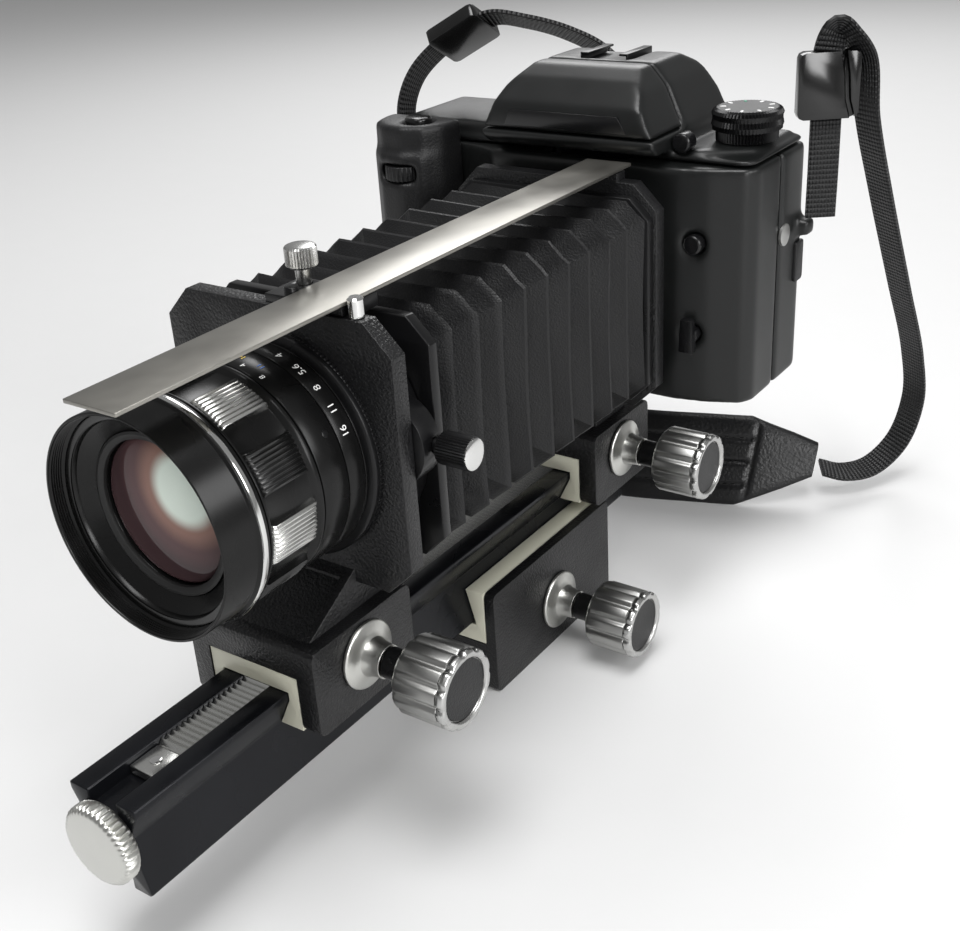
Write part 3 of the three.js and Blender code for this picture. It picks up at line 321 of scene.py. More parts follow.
SENSOR = Finish("sensor_filter", "sensor", (0.03, 0.08, 0.07), 0.08, 0.0, Grain.NONE, coat=0.8)


# Centre and size of the painted reflection patch on the lens glass, in object space.
PAINTED_REFLECTION_AT = (0.009, -0.148, 0.1265)
PAINTED_REFLECTION_SIZE = 0.024


def glass_with_painted_reflection(name: str, tint: tuple[float, float, float], edge: tuple[float, float, float]) -> bpy.types.Material:
    """A dark lens element with painted light in its base colour: a painted reflection, a pale green patch round a fixed
    point that fades through amber and dark red to black, and a tinted edge colour at a slant that stands in for the
    coating's reflection.

    Args:
        name: the material's name.
        tint: colour seen straight on.
        edge: colour seen at a slant, a painted reflection tint.

    Returns:
        The material.
    """
    made = bpy.data.materials.get(name)
    if made:
        return made
    made = bpy.data.materials.new(name)
    made.use_nodes = True
    tree = made.node_tree
    shader = tree.nodes["Principled BSDF"]
    shader.inputs["Roughness"].default_value = 0.02
    shader.inputs["Specular IOR Level"].default_value = 0.16
    place = tree.nodes.new("ShaderNodeTexCoord")
    # Painted reflection: a pale green patch round a fixed point, fading through amber and dark red to black, is added
    # to the base colour.
    reach = tree.nodes.new("ShaderNodeVectorMath")
    reach.operation = "DISTANCE"
    reach.inputs[1].default_value = PAINTED_REFLECTION_AT
    tree.links.new(place.outputs["Object"], reach.inputs[0])
    ramp = tree.nodes.new("ShaderNodeValToRGB")
    ramp.color_ramp.interpolation = "EASE"
    first, last = ramp.color_ramp.elements
    first.position, first.color = 0.30, (0.70, 0.80, 0.72, 1)
    last.position, last.color = 1.0, (0, 0, 0, 1)
    ramp.color_ramp.elements.new(0.48).color = (0.22, 0.12, 0.09, 1)
    ramp.color_ramp.elements.new(0.72).color = (0.05, 0.022, 0.022, 1)
    tree.links.new(math_node(tree, "DIVIDE", reach.outputs["Value"], PAINTED_REFLECTION_SIZE), ramp.inputs[0])
    # Painted reflection tint: the base colour turns from the straight-on tint to the edge colour at a slant.
    weight = tree.nodes.new("ShaderNodeLayerWeight")
    weight.inputs["Blend"].default_value = 0.45
    shade = tree.nodes.new("ShaderNodeMix")
    shade.data_type = "RGBA"
    tree.links.new(weight.outputs["Facing"], shade.inputs["Factor"])
    shade.inputs[6].default_value = (*tint, 1)
    shade.inputs[7].default_value = (*edge, 1)
    painted_reflection = tree.nodes.new("ShaderNodeMix")
    painted_reflection.data_type = "RGBA"
    painted_reflection.blend_type = "ADD"
    painted_reflection.inputs["Factor"].default_value = 1.0
    tree.links.new(shade.outputs[2], painted_reflection.inputs[6])
    tree.links.new(ramp.outputs[0], painted_reflection.inputs[7])
    tree.links.new(painted_reflection.outputs[2], shader.inputs["Base Color"])
    return made


# ---------------------------------------------------------------- workshop
def ease(bm: bmesh.types.BMesh, width: float, segments: int = 2, angle: float = 30.0) -> None:
    """Bevels every edge that is sharper than an angle.

    Args:
        bm: the mesh.
        width: width of the bevel, in the mesh's own unit.
        segments: segments of the bevel.
        angle: edges sharper than this, in degrees, are bevelled.
    """
    limit = math.radians(angle)
    sharp = [e for e in bm.edges if len(e.link_faces) == 2 and e.calc_face_angle(0.0) > limit]
    bmesh.ops.bevel(
        bm, geom=sharp, offset=width, offset_type="OFFSET", affect="EDGES",
        segments=segments, profile=0.5, material=-1, clamp_overlap=True,
    )


@dataclass
class Workshop:
    """Makes finished pieces: each one is meshed, dressed, named and put on its body."""

    frame: dict
    made: list[bpy.types.Object] = field(default_factory=list)

    def piece(
        self,
        name: str,
        bm: bmesh.types.BMesh,
        finish: Finish,
        body: str | None,
        replaces: Iterable[str] = (),
        scale: float = MM,
        angle: float = 35.0,
        turn: Matrix | None = None,
    ) -> bpy.types.Object:
        """Turns a mesh into a finished piece.

        Args:
            name: the piece's name.
            bm: its mesh, which is freed.
            finish: its finish.
            body: the body it rides on, or None where it is blended later.
            replaces: the CAD nodes that it stands for.
            scale: metres in one unit of the mesh.
            angle: edges sharper than this stay sharp.
            turn: a placing matrix in the mesh's own unit.

        Returns:
            The new object.
        """
        if turn is not None:
            bmesh.ops.transform(bm, matrix=turn, verts=bm.verts)
        bmesh.ops.scale(bm, vec=(scale,) * 3, verts=bm.verts)
        mesh = bpy.data.meshes.new(name)
        bm.to_mesh(mesh)
        bm.free()
        mesh.shade_smooth()
        mesh.set_sharp_from_angle(angle=math.radians(angle))
        mesh.materials.append(finish.material())
        made = bpy.data.objects.new(name, mesh)
        bpy.context.scene.collection.objects.link(made)
        if body:
            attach(made, body)
        if replaces:
            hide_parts(*replaces)
        self.made.append(made)
        LOG.info("made %s with %d faces", name, len(mesh.polygons))
        return made

    def dress(self, node: str, finish: Finish) -> None:
        """Gives a CAD node a finish."""
        slots = self.frame["nodes"][node].data.materials
        slots.clear()
        slots.append(finish.material())

    def softened(
        self, node: str, finish: Finish, body: str, width: float = 0.35, segments: int = 2, angle: float = 28.0
    ) -> bpy.types.Object:
        """Stands a bevelled copy in for a CAD node whose edges should catch the light.

        Args:
            node: the CAD node.
            finish: the finish.
            body: the body it rides on.
            width: width of the bevel in millimetres.
            segments: segments of the bevel.
            angle: edges sharper than this are bevelled.

        Returns:
            The new object.
        """
        bm = bmesh.new()
        bm.from_mesh(self.frame["nodes"][node].data)
        bmesh.ops.remove_doubles(bm, verts=bm.verts, dist=0.02 * MM)
        bmesh.ops.dissolve_limit(bm, angle_limit=math.radians(1.5), verts=bm.verts, edges=bm.edges)
        ease(bm, width * MM, segments, angle)
        return self.piece(f"{node}_soft", bm, finish, body, [node], scale=1.0)


def along(axis: str, at: Sequence[float]) -> Matrix:
    """Matrix that stands a piece made round Z along an axis.

    Args:
        axis: "x", "y" or "z", the way the piece's own Z points.
        at: where its origin goes, in millimetres.

    Returns:
        The matrix.
    """
    turns = {
        "x": Matrix(((0, 0, 1), (1, 0, 0), (0, 1, 0))),
        "y": Matrix(((1, 0, 0), (0, 0, 1), (0, -1, 0))),
        "z": Matrix.Identity(3),
    }
    return Matrix.Translation(Vector(at)) @ turns[axis].to_4x4()


def turned(profile: Profile, steps: int = 96, soft: float = 0.12, closed: bool = True) -> bmesh.types.BMesh:
    """Spins a profile round Z.

    Args:
        profile: (radius, height) points in millimetres.
        steps: steps of the spin.
        soft: bevel of its sharp corners.
        closed: True if the profile's ends are joined, for a ring.

    Returns:
        The mesh.
    """
    bm = bmesh.new()
    verts = [bm.verts.new((r, 0, h)) for r, h in profile]
    pairs = list(zip(verts, verts[1:]))
    if closed:
        pairs.append((verts[-1], verts[0]))
    edges = [bm.edges.new(pair) for pair in pairs]
    bmesh.ops.spin(
        bm, geom=[*verts, *edges], cent=(0, 0, 0), axis=(0, 0, 1), angle=math.tau, steps=steps, use_merge=True
    )
    bmesh.ops.remove_doubles(bm, verts=bm.verts, dist=1e-4)
    bmesh.ops.recalc_face_normals(bm, faces=bm.faces)
    if soft:
        ease(bm, soft, 1, 40)
    return bm


def lofted(loops: Sequence[Loop], cap_start: bool = True, cap_end: bool = True) -> bmesh.types.BMesh:
    """Draws a skin through a row of closed loops with the same number of points.

    Args:
        loops: the loops, in millimetres.
        cap_start: True to close the first loop.
        cap_end: True to close the last loop.

    Returns:
        The mesh.
    """
    bm = bmesh.new()
    key = bm.verts.layers.int.new("place")
    row = bm.verts.layers.int.new("row")
    ring = bmesh.ops.create_circle(bm, segments=len(loops[0]), radius=1)["verts"]
    for k, vert in enumerate(ring):
        vert[key] = k
        vert.co = loops[0][k]
    edges = bm.edges[:]
    if cap_start:
        bmesh.ops.contextual_create(bm, geom=edges)
    for number, loop in enumerate(loops[1:], 1):
        made = bmesh.ops.extrude_edge_only(bm, edges=edges)["geom"]
        fresh = {g for g in made if isinstance(g, bmesh.types.BMVert)}
        for vert in fresh:
            vert.co = loop[vert[key]]
            vert[row] = number
        edges = [g for g in made if isinstance(g, bmesh.types.BMEdge) and all(v in fresh for v in g.verts)]
    if cap_end:
        bmesh.ops.contextual_create(bm, geom=edges)
    bmesh.ops.recalc_face_normals(bm, faces=bm.faces)
    return bm


def slab(outline: Profile, low: float, high: float, soft: float = 0.3, segments: int = 2) -> bmesh.types.BMesh:
    """Extrudes a flat outline along Z and eases its edges.

    Args:
        outline: (x, y) corners in millimetres.
        low: lower end.
        high: upper end.
        soft: bevel width.
        segments: segments of the bevel.

    Returns:
        The mesh.
    """
    bm = lofted([[(x, y, low) for x, y in outline], [(x, y, high) for x, y in outline]])
    if soft:
        ease(bm, soft, segments)
    return bm


def rounded(half_x: float, half_y: float, r: float, steps: int = 5) -> list[tuple[float, float]]:
    """Corners of a rounded rectangle round the origin.

    Args:
        half_x: half its width.
        half_y: half its height.
        r: corner radius.
        steps: steps of each corner.

    Returns:
        The points, anticlockwise.
    """
    points = []
    for quarter, (sx, sy) in enumerate(((1, 1), (-1, 1), (-1, -1), (1, -1))):
        for i in range(steps + 1):
            t = (quarter + i / steps) * math.pi / 2
            points.append((sx * (half_x - r) + r * math.cos(t), sy * (half_y - r) + r * math.sin(t)))
    return points


def circle(r: float, count: int = 64) -> list[tuple[float, float]]:
    """Points of a circle round the origin."""
    return [(r * math.cos(i / count * math.tau), r * math.sin(i / count * math.tau)) for i in range(count)]


def joined(parts: Sequence[bmesh.types.BMesh]) -> bmesh.types.BMesh:
    """Puts several meshes into one; the others are freed."""
    first = parts[0]
    for other in parts[1:]:
        keep = bpy.data.meshes.new("joining")
        other.to_mesh(keep)
        other.free()
        first.from_mesh(keep)
        bpy.data.meshes.remove(keep)
    return first


def interpolated(table: Sequence[Sequence[float]], at: float) -> list[float]:
    """Reads a table of stations at one place, smoothly.

    Args:
        table: rows that start with their place, in rising order.
        at: the place.

    Returns:
        The other columns at that place.
    """
    if at <= table[0][0]:
        return list(table[0][1:])
    for a, b in zip(table, table[1:]):
        if at <= b[0]:
            t = (at - a[0]) / (b[0] - a[0])
            return [p + (q - p) * t for p, q in zip(a[1:], b[1:])]
    return list(table[-1][1:])


def wrapped_text(text: str, size: float, radius: float, angle: float, at_y: float) -> bmesh.types.BMesh:
    """Figures bent round a cylinder on the optical axis.

    Args:
        text: the figures.
        size: their height in millimetres.
        radius: radius of the cylinder.
        angle: where their middle stands, in degrees from +X towards +Z.
        at_y: where their middle stands along the axis.

    Returns:
        The mesh, in place, in millimetres.
    """
    curve = bpy.data.curves.new("figure", "FONT")
    curve.body = text
    curve.size = size * 1.4
    curve.align_x = "CENTER"
    curve.align_y = "CENTER"
    holder = bpy.data.objects.new("figure", curve)
    mesh = bpy.data.meshes.new_from_object(holder)
    bm = bmesh.new()
    bm.from_mesh(mesh)
    bpy.data.objects.remove(holder)
    bpy.data.curves.remove(curve)
    bpy.data.meshes.remove(mesh)
    for vert in bm.verts:
        across, up = vert.co.x, vert.co.y
        t = math.radians(angle) + across / radius
        vert.co = (radius * math.cos(t), at_y - up, AXIS_Z + radius * math.sin(t))
    return bm


# ---------------------------------------------------------------- studio
@dataclass
class Studio:
    """Camera, soft lamps and a pale floor.

    Attributes:
        place: the camera's place in metres.
        right: the camera's right.
        up: the camera's up.
        lens: focal length in millimetres.
        shift: lens shift.
        floor_half: half the floor's size in metres.
        floor_tone: the floor's grey.
        sky: strength of the surrounding light.
        backdrop: brightness of the surroundings to the camera.
    """

    place: tuple[float, float, float] = (0.2341, -0.3339, 0.2704)
    right: tuple[float, float, float] = (0.82289, 0.56519, -0.05838)
    up: tuple[float, float, float] = (-0.21210, 0.40087, 0.89125)
    lens: float = 49.18
    shift: tuple[float, float] = (0.0023, 0.0019)
    floor_half: float = 4.0
    floor_tone: float = 0.66
    sky: float = 0.30
    backdrop: float = 0.72

    def camera(self) -> None:
        """Sets the camera up."""
        data = bpy.data.cameras.new("camera")
        data.lens = self.lens
        data.sensor_width = 36
        data.sensor_fit = "HORIZONTAL"
        data.shift_x, data.shift_y = self.shift
        data.clip_start = 0.01
        right, up = Vector(self.right).normalized(), Vector(self.up)
        up = (up - right * up.dot(right)).normalized()
        back = right.cross(up)
        turn = Matrix((right, up, back)).transposed().to_4x4()
        camera = bpy.data.objects.new("camera", data)
        camera.matrix_world = Matrix.Translation(self.place) @ turn
        bpy.context.scene.collection.objects.link(camera)
        bpy.context.scene.camera = camera

    def lamp(self, name: str, place: Sequence[float], size: float, watts: float, aim: Sequence[float]) -> None:
        """Adds one soft square lamp.

        Args:
            name: its name.
            place: its place in metres.
            size: its side in metres.
            watts: its power.
            aim: the point that it faces.
        """
        data = bpy.data.lights.new(name, "AREA")
        data.shape = "SQUARE"
        data.size = size
        data.energy = watts
        lamp = bpy.data.objects.new(name, data)
        way = Vector(aim) - Vector(place)
        lamp.matrix_world = Matrix.Translation(place) @ way.to_track_quat("-Z", "Y").to_matrix().to_4x4()
        bpy.context.scene.collection.objects.link(lamp)

    def world(self) -> None:
        """Makes the surroundings white to the camera and softer as a light."""
        world = bpy.data.worlds.new("studio")
        bpy.context.scene.world = world
        world.use_nodes = True
        tree = world.node_tree
        background = tree.nodes["Background"]
        path = tree.nodes.new("ShaderNodeLightPath")
        lift = math_node(tree, "MULTIPLY", path.outputs["Is Camera Ray"], self.backdrop - self.sky)
        tree.links.new(math_node(tree, "ADD", lift, self.sky), background.inputs["Strength"])
        background.inputs["Color"].default_value = (1, 1, 1, 1)

    def floor(self) -> None:
        """Lays the pale floor."""
        bm = bmesh.new()
        bmesh.ops.create_grid(bm, x_segments=2, y_segments=2, size=self.floor_half)
        mesh = bpy.data.meshes.new("floor")
        bm.to_mesh(mesh)
        bm.free()
        tone = Finish("pale_floor", "none", (self.floor_tone,) * 3, 0.6, 0.0, Grain.FINE, 4, 0.02, 0.01)
        mesh.materials.append(tone.material())
        floor = bpy.data.objects.new("floor", mesh)
        bpy.context.scene.collection.objects.link(floor)

    def build(self) -> None:
        """Makes the whole set."""
        bpy.context.scene.view_settings.view_transform = "Standard"
        self.camera()
        self.world()
        self.floor()
        self.lamp("key", (0.15, -0.35, 1.45), 0.8, 19, (0, -0.02, 0.1))
        self.lamp("right_fill", (1.25, -0.05, 0.75), 0.6, 7, (0, 0, 0.1))
        self.lamp("back", (-0.5, 1.1, 1.0), 0.8, 10, (0, 0, 0.12))
        self.lamp("low_right", (0.95, -0.62, 0.42), 0.35, 4.5, (0, -0.1, 0.11))
        LOG.info("made the studio")


# ---------------------------------------------------------------- strap
@dataclass
class Strap:
    """Neck strap: two ribbed webbings with tri-glide buckles and a leather pad.

    Attributes:
        right_line: points of the right webbing, in millimetres.
        left_line: points of the left webbing.
        pad_line: points of the pad's middle, seen from above.
        half_width: half the webbing's width.
        half_thick: half its thickness.
        step: length of one step along it.
        twist_from: where the right webbing starts to turn back, along its length.
        twist_span: length over which it turns back.
        turn_out: how far its upright part is turned to the front, in degrees.
    """

    right_line: tuple[tuple[float, float, float], ...] = (
        (71.4, 101.6, 134.6), (71.5, 101.6, 150), (71.4, 101.6, 168), (71.4, 101.6, 192), (73.2, 102.6, 198.6),
        (80.4, 108, 190), (82.4, 111, 169), (84, 127, 138), (86.6, 149, 97.5), (88.5, 169, 62), (88, 178, 37.5),
        (84, 175, 19), (77, 164, 10), (69, 153, 10), (61.4, 147.2, 13),
    )
    left_line: tuple[tuple[float, float, float], ...] = (
        (-86, 75, 154.6), (-88.4, 75.6, 166), (-86, 80, 178), (-79, 87, 187.6), (-70, 91, 193), (-59, 94.6, 198.6),
        (-46, 99, 197), (-34, 108, 192), (-24, 117, 184), (-16, 125, 168), (-16, 130, 145), (-24, 134, 110),
        (-38, 136, 72), (-56, 134, 42), (-66, 126, 26), (-62, 117, 18), (-52, 113.6, 15),
    )
    pad_line: tuple[tuple[float, float], ...] = ((59.6, 146), (37, 133), (18, 126), (-14, 116), (-50, 113.6))
    half_width: float = 5.2
    half_thick: float = 0.8
    step: float = 0.75
    twist_from: float = 55.0
    twist_span: float = 16.0
    turn_out: float = -55.0

    @staticmethod
    def curve(line: Sequence[Sequence[float]], step: float) -> list[Vector]:
        """Draws a centripetal curve through points and walks it evenly.

        Args:
            line: the points.
            step: length of one step.

        Returns:
            Even points along the curve.
        """
        knots = [Vector(p) for p in line]
        ends = [knots[0] * 2 - knots[1], *knots, knots[-1] * 2 - knots[-2]]
        dense = []
        for p0, p1, p2, p3 in zip(ends, ends[1:], ends[2:], ends[3:]):
            d0, d1, d2 = ((b - a).length ** 0.5 for a, b in ((p0, p1), (p1, p2), (p2, p3)))
            m1 = ((p1 - p0) / d0 - (p2 - p0) / (d0 + d1) + (p2 - p1) / d1) * d1
            m2 = ((p2 - p1) / d1 - (p3 - p1) / (d1 + d2) + (p3 - p2) / d2) * d1
            for i in range(40):
                t = i / 40
                dense.append(
                    p1 * (2 * t**3 - 3 * t**2 + 1) + m1 * (t**3 - 2 * t**2 + t)
                    + p2 * (3 * t**2 - 2 * t**3) + m2 * (t**3 - t**2)
                )
        dense.append(knots[-1])
        total = sum((b - a).length for a, b in zip(dense, dense[1:]))
        gap = total / round(total / step)
        even, left = [dense[0]], gap
        for a, b in zip(dense, dense[1:]):
            span = (b - a).length
            while left <= span:
                even.append(a.lerp(b, left / span))
                left += gap
            left -= span
        if (even[-1] - dense[-1]).length > gap / 2:
            even.append(dense[-1])
        return even

    def ribbon(self, path: Sequence[Vector], side: Vector, twist: float = 0.0) -> bmesh.types.BMesh:
        """Sweeps the webbing's section along a path without twist.

        Args:
            path: even points, in millimetres.
            side: the way its width points at the start.
            twist: how far the upright part is turned before the top fold, in degrees.

        Returns:
            The mesh, with a UV map across and along it.
        """
        w, t = self.half_width, self.half_thick
        across = [i / 10 * 2 - 1 for i in range(11)]
        section = [(a * w, t * (1.0 if abs(a) < 0.85 else 0.72)) for a in across]
        section += [(a, -b) for a, b in reversed(section)]
        loops: list[Loop] = []
        way = (path[1] - path[0]).normalized()
        side = (side - way * side.dot(way)).normalized()
        for i, point in enumerate(path):
            ahead = (path[min(i + 1, len(path) - 1)] - path[max(i - 1, 0)]).normalized()
            side = way.rotation_difference(ahead) @ side
            side = (side - ahead * side.dot(ahead)).normalized()
            way = ahead
            eased = min(max((i * self.step - self.twist_from) / self.twist_span, 0.0), 1.0)
            turn = math.radians(twist) * (1 - eased * eased * (3 - 2 * eased))
            flat = Matrix.Rotation(turn, 3, way) @ side
            up = way.cross(flat)
            loops.append([tuple(point + flat * a + up * b) for a, b in section])
        bm = lofted(loops)
        place = bm.verts.layers.int["place"]
        row = bm.verts.layers.int["row"]
        uv = bm.loops.layers.uv.new("UVMap")
        for face in bm.faces:
            for corner in face.loops:
                k = corner.vert[place]
                corner[uv].uv = (section[k][0] / (2 * w) + 0.5, corner.vert[row] * self.step)
        return bm

    def webbing(
        self, shop: Workshop, name: str, line: Sequence[Sequence[float]], node: str,
        buckle: bpy.types.Object, twist: float = 0.0,
    ) -> None:
        """Args:
            shop: the workshop.
            name: the piece's name.
            line: its points.
            node: the CAD node that it replaces.
            buckle: the buckle on it; not used.
            twist: turn of its upright part in degrees.
        """
        path = self.curve(line, self.step)
        piece = shop.piece(name, self.ribbon(path, Vector((0, -1, 0)), twist), WEBBING, "rear", [node], angle=60)

    def pad(self, shop: Workshop) -> None:
        """Makes the leather pad that stands on its long edge, with stitched channels."""
        line = self.curve([(x, y, 0) for x, y in self.pad_line], 0.9)
        rows = 44
        height, lean = 35.0, 0.47
        bm = bmesh.new()
        sides: list[list[list[bmesh.types.BMVert]]] = []
        for face in (1, -1):
            grid = []
            for i, point in enumerate(line):
                ahead = (line[min(i + 1, len(line) - 1)] - line[max(i - 1, 0)]).normalized()
                out = Vector((ahead.y, -ahead.x, 0)) * face
                if out.y * face > 0:
                    out = -out
                reach = self.pad_reach(point.x)
                column = []
                for j in range(rows + 1):
                    v = (j / rows - 0.5) * 2
                    z = v * reach
                    puff = 2.15 * (1 - abs(v) ** 6) ** 0.5 * self.pad_swell(z, point.x)
                    spot = point + out * puff + Vector((0, -2.0 + z * lean, 17.6 + z))
                    column.append(bm.verts.new(spot))
                grid.append(column)
            sides.append(grid)
        for grid in sides:
            for a, b in zip(grid, grid[1:]):
                for j in range(rows):
                    bm.faces.new((a[j], b[j], b[j + 1], a[j + 1]))
        for end in (0, -1):
            for j in range(rows):
                bm.faces.new((sides[0][end][j], sides[0][end][j + 1], sides[1][end][j + 1], sides[1][end][j]))
        bmesh.ops.remove_doubles(bm, verts=bm.verts, dist=0.02)
        bmesh.ops.recalc_face_normals(bm, faces=bm.faces)
        piece = shop.piece("leather_pad", bm, LEATHER, "rear", ["strap_pad"], angle=70)
        LOG.info("pad of height %.0f mm", height)

    @staticmethod
    def pad_reach(x: float) -> float:
        """Half the pad's height at one place along it."""
        return interpolated(((-52, 6), (-28, 17.4), (34, 17.4), (50, 11), (61, 6)), x)[0]

    @staticmethod
    def pad_swell(z: float, x: float) -> float:
        """How full the pad is at a height: it is drawn in at three stitched channels and at a band's edge."""
        full = 1.0
        for channel in (-9.0, 0.0, 9.0):
            if x < 36:
                full -= 0.55 * math.exp(-(((z - channel) / 0.9) ** 2))
        full -= 0.35 * math.exp(-(((x - 37) / 0.8) ** 2))
        return max(full, 0.15)

    def stitches(self, shop: Workshop) -> None:
        """Sews short threads along the channels of the pad's front."""
        line = self.curve([(x, y, 0) for x, y in self.pad_line], 1.0)
        parts = []
        for channel in (-9.0, 0.0, 9.0):
            for a, b in zip(line[4::3], line[6::3]):
                if not -40 < a.x < 34:
                    continue
                way = (b - a).normalized()
                out = Vector((way.y, -way.x, 0))
                if out.y > 0:
                    out = -out
                base = (a + b) / 2 + out * 1.15 + Vector((0, -2.0 + channel * 0.47, 17.6 + channel))
                turn = Matrix((way, out.cross(way), out)).transposed().to_4x4()
                bead = slab(rounded(0.85, 0.22, 0.2, 2), -0.2, 0.25, 0.08, 1)
                bmesh.ops.transform(bead, matrix=Matrix.Translation(base) @ turn, verts=bead.verts)
                parts.append(bead)
        shop.piece("pad_stitching", joined(parts), GLOSS, "rear")

    def build(self, shop: Workshop) -> None:
        """Makes the strap."""
        shop.softened("strap_right_buckle", GLOSS, "rear", 0.5)
        shop.softened("strap_left_buckle", GLOSS, "rear", 0.5)
        right = bpy.data.objects["strap_right_buckle_soft"]
        left = bpy.data.objects["strap_left_buckle_soft"]
        hub = Matrix.Translation((71.4 * MM, 101.6 * MM, 0))
        right.data.transform(hub @ Matrix.Rotation(math.radians(self.turn_out), 4, "Z") @ hub.inverted())
        self.webbing(shop, "right_webbing", self.right_line, "strap_right_webbing", right, self.turn_out)
        self.webbing(shop, "left_webbing", self.left_line, "strap_left_webbing", left)
        self.pad(shop)
        self.stitches(shop)
        LOG.info("made the strap")


# ---------------------------------------------------------------- drives
@dataclass
class Drive:
    """One knob drive: escutcheon, collar, fluted knob, scalloped rim and inlaid disc.

    Attributes:
        name: name of the drive.
        body: the body that turns.
        seat: the body that the escutcheon is on.
        face_x: side face that the escutcheon stands on.
        y: place of the axis.
        z: height of the axis.
        radius: knob radius.
        flutes: number of flutes.
    """

    name: str
    body: str
    seat: str
    face_x: float
    y: float
    z: float
    radius: float = 11.7
    flutes: int = 12

    def outline(self, scale: float, flute: float, height: float) -> Loop:
        """One loop of the fluted side.

        Args:
            scale: radius of the lands.
            flute: depth of the flutes.
            height: height of the loop.

        Returns:
            The loop.
        """
        loop = []
        steps = self.flutes * 12
        for i in range(steps):
            t = i / steps * math.tau
            dip = max(0.0, math.cos(t * self.flutes)) ** 1.3
            r = scale - flute * dip
            loop.append((r * math.cos(t), r * math.sin(t), height))
        return loop

    def build(self, shop: Workshop) -> None:
        """Makes the drive's pieces."""
        at = (self.face_x, self.y, self.z)
        place = along("x", at)
        r = self.radius
        collar, start, end = 8.8, 16.9, 35.1
        plate = turned(
            [(2.8, 0.3), (10.4, 0.3), (10.4, 1.1), (9.9, 1.5), (7.4, 2.0), (6.0, 2.9), (5.4, 4.4), (5.1, 6.5),
             (5.0, 8.3), (2.8, 8.3)], 96, 0.1)
        shop.piece(f"{self.name}_plate", plate, NICKEL, self.seat, [f"{self.name}_escutcheon"], turn=place)
        neck = turned([(2.5, collar), (4.7, collar), (4.7, start + 0.6), (2.5, start + 0.6)], 64, 0.25)
        shop.piece(f"{self.name}_collar", neck, BLACK_METAL, self.body, turn=place)
        screw = slab(circle(1.0, 20), 0, 0.14, 0.05, 1)
        tilt = Matrix.Translation((0, 0, collar + 4.2)) @ Matrix.Rotation(math.radians(62), 4, "Z")
        screw_place = place @ tilt @ Matrix.Translation((4.62, 0, 0)) @ Matrix.Rotation(math.pi / 2, 4, "Y")
        shop.piece(f"{self.name}_set_screw", screw, CHROME, self.body, turn=screw_place)
        rows = [(3.0, 0, start), (r - 2.4, 0, start), (r - 1.5, 0.2, start + 0.25), (r - 0.5, 0.6, start + 1.0),
                (r, 1.15, start + 2.0), (r, 1.15, end - 3.2), (r - 0.15, 1.1, end - 2.8), (r - 0.5, 0.9, end - 2.7),
                (3.0, 0, end - 2.7)]
        grip = lofted([self.outline(*row) for row in rows])
        shop.piece(f"{self.name}_grip", grip, DARK_SATIN, self.body, [f"{self.name}_knob"], turn=place, angle=50)
        rows = [(r - 2.6, 0, end - 2.6), (r - 0.3, 0.8, end - 2.6), (r, 0.95, end - 2.1), (r, 0.8, end - 1.0),
                (r - 0.3, 0.6, end - 0.4), (r - 0.9, 0.35, end), (r - 1.8, 0, end), (r - 2.4, 0, end - 0.35),
                (r - 2.6, 0, end - 1.2)]
        rim = lofted([self.outline(*row) for row in rows])
        shop.piece(f"{self.name}_rim", rim, RIM, self.body, turn=place, angle=50)
        inlay = turned([(0, end - 1.2), (0, end - 0.75), (4, end - 0.72), (r - 2.9, end - 0.8), (r - 2.7, end - 1.2)],
                       64, 0, closed=False)
        shop.piece(f"{self.name}_inlay", inlay, SKIN, self.body, turn=place)


# ---------------------------------------------------------------- rail and block
@dataclass
class RailAndBlock:
    """The rail with its racks and end knob, and the tripod block that it slides in.

    Attributes:
        knob_ribs: ribs round the end knob.
        knob_at: axis of the end knob, x and z.
    """

    knob_ribs: int = 44
    knob_at: tuple[float, float] = (1.2, 42.0)

    def end_knob(self, shop: Workshop) -> None:
        """Makes the ribbed thumb knob at the rail's front end."""
        loops = []
        for r, dip, h in ((3, 0, 0), (9.6, 0, 0), (10.7, 0.1, 0.25), (11.5, 0.5, 1.0), (11.8, 0.85, 1.6),
                          (11.8, 0.85, 4.3), (11.5, 0.5, 4.9), (10.8, 0.1, 5.5), (9.6, 0, 5.9), (3, 0, 5.9)):
            loop = []
            for i in range(self.knob_ribs * 6):
                t = i / (self.knob_ribs * 6) * math.tau
                q = r - dip * (0.5 + 0.5 * math.cos(t * self.knob_ribs))
                loop.append((q * math.cos(t), q * math.sin(t), h))
            loops.append(loop)
        x, z = self.knob_at
        shop.piece("end_knob_ribbed", lofted(loops), NICKEL, "end_knob", ["rail_end_knob"],
                   turn=along("y", (x, -189.2, z)), angle=50)

    def build(self, shop: Workshop) -> None:
        """Makes the rail and block."""
        shop.softened("rail", ANODISED, "rail", 0.45, 2)
        shop.dress("upper_rack", STEEL)
        shop.dress("lower_rack", STEEL)
        shop.softened("rack_stop", STEEL, "rail", 0.4)
        screw = slab(circle(1.7, 32), 52.3, 52.75, 0.15, 2)
        shop.piece("rack_stop_screw", screw, CHROME, "rail", turn=Matrix.Translation((0, -164.6, 0)))
        self.end_knob(shop)
        shop.softened("tripod_block", ENAMEL, "block", 1.0, 3)
        shop.softened("tripod_liner", NYLON, "block", 0.3)
        shop.dress("tripod_pinion", STEEL)
        Drive("tripod", "tripod_drive", "block", 20.5, 1.5, 16.0958).build(shop)
        LOG.info("made the rail and block")


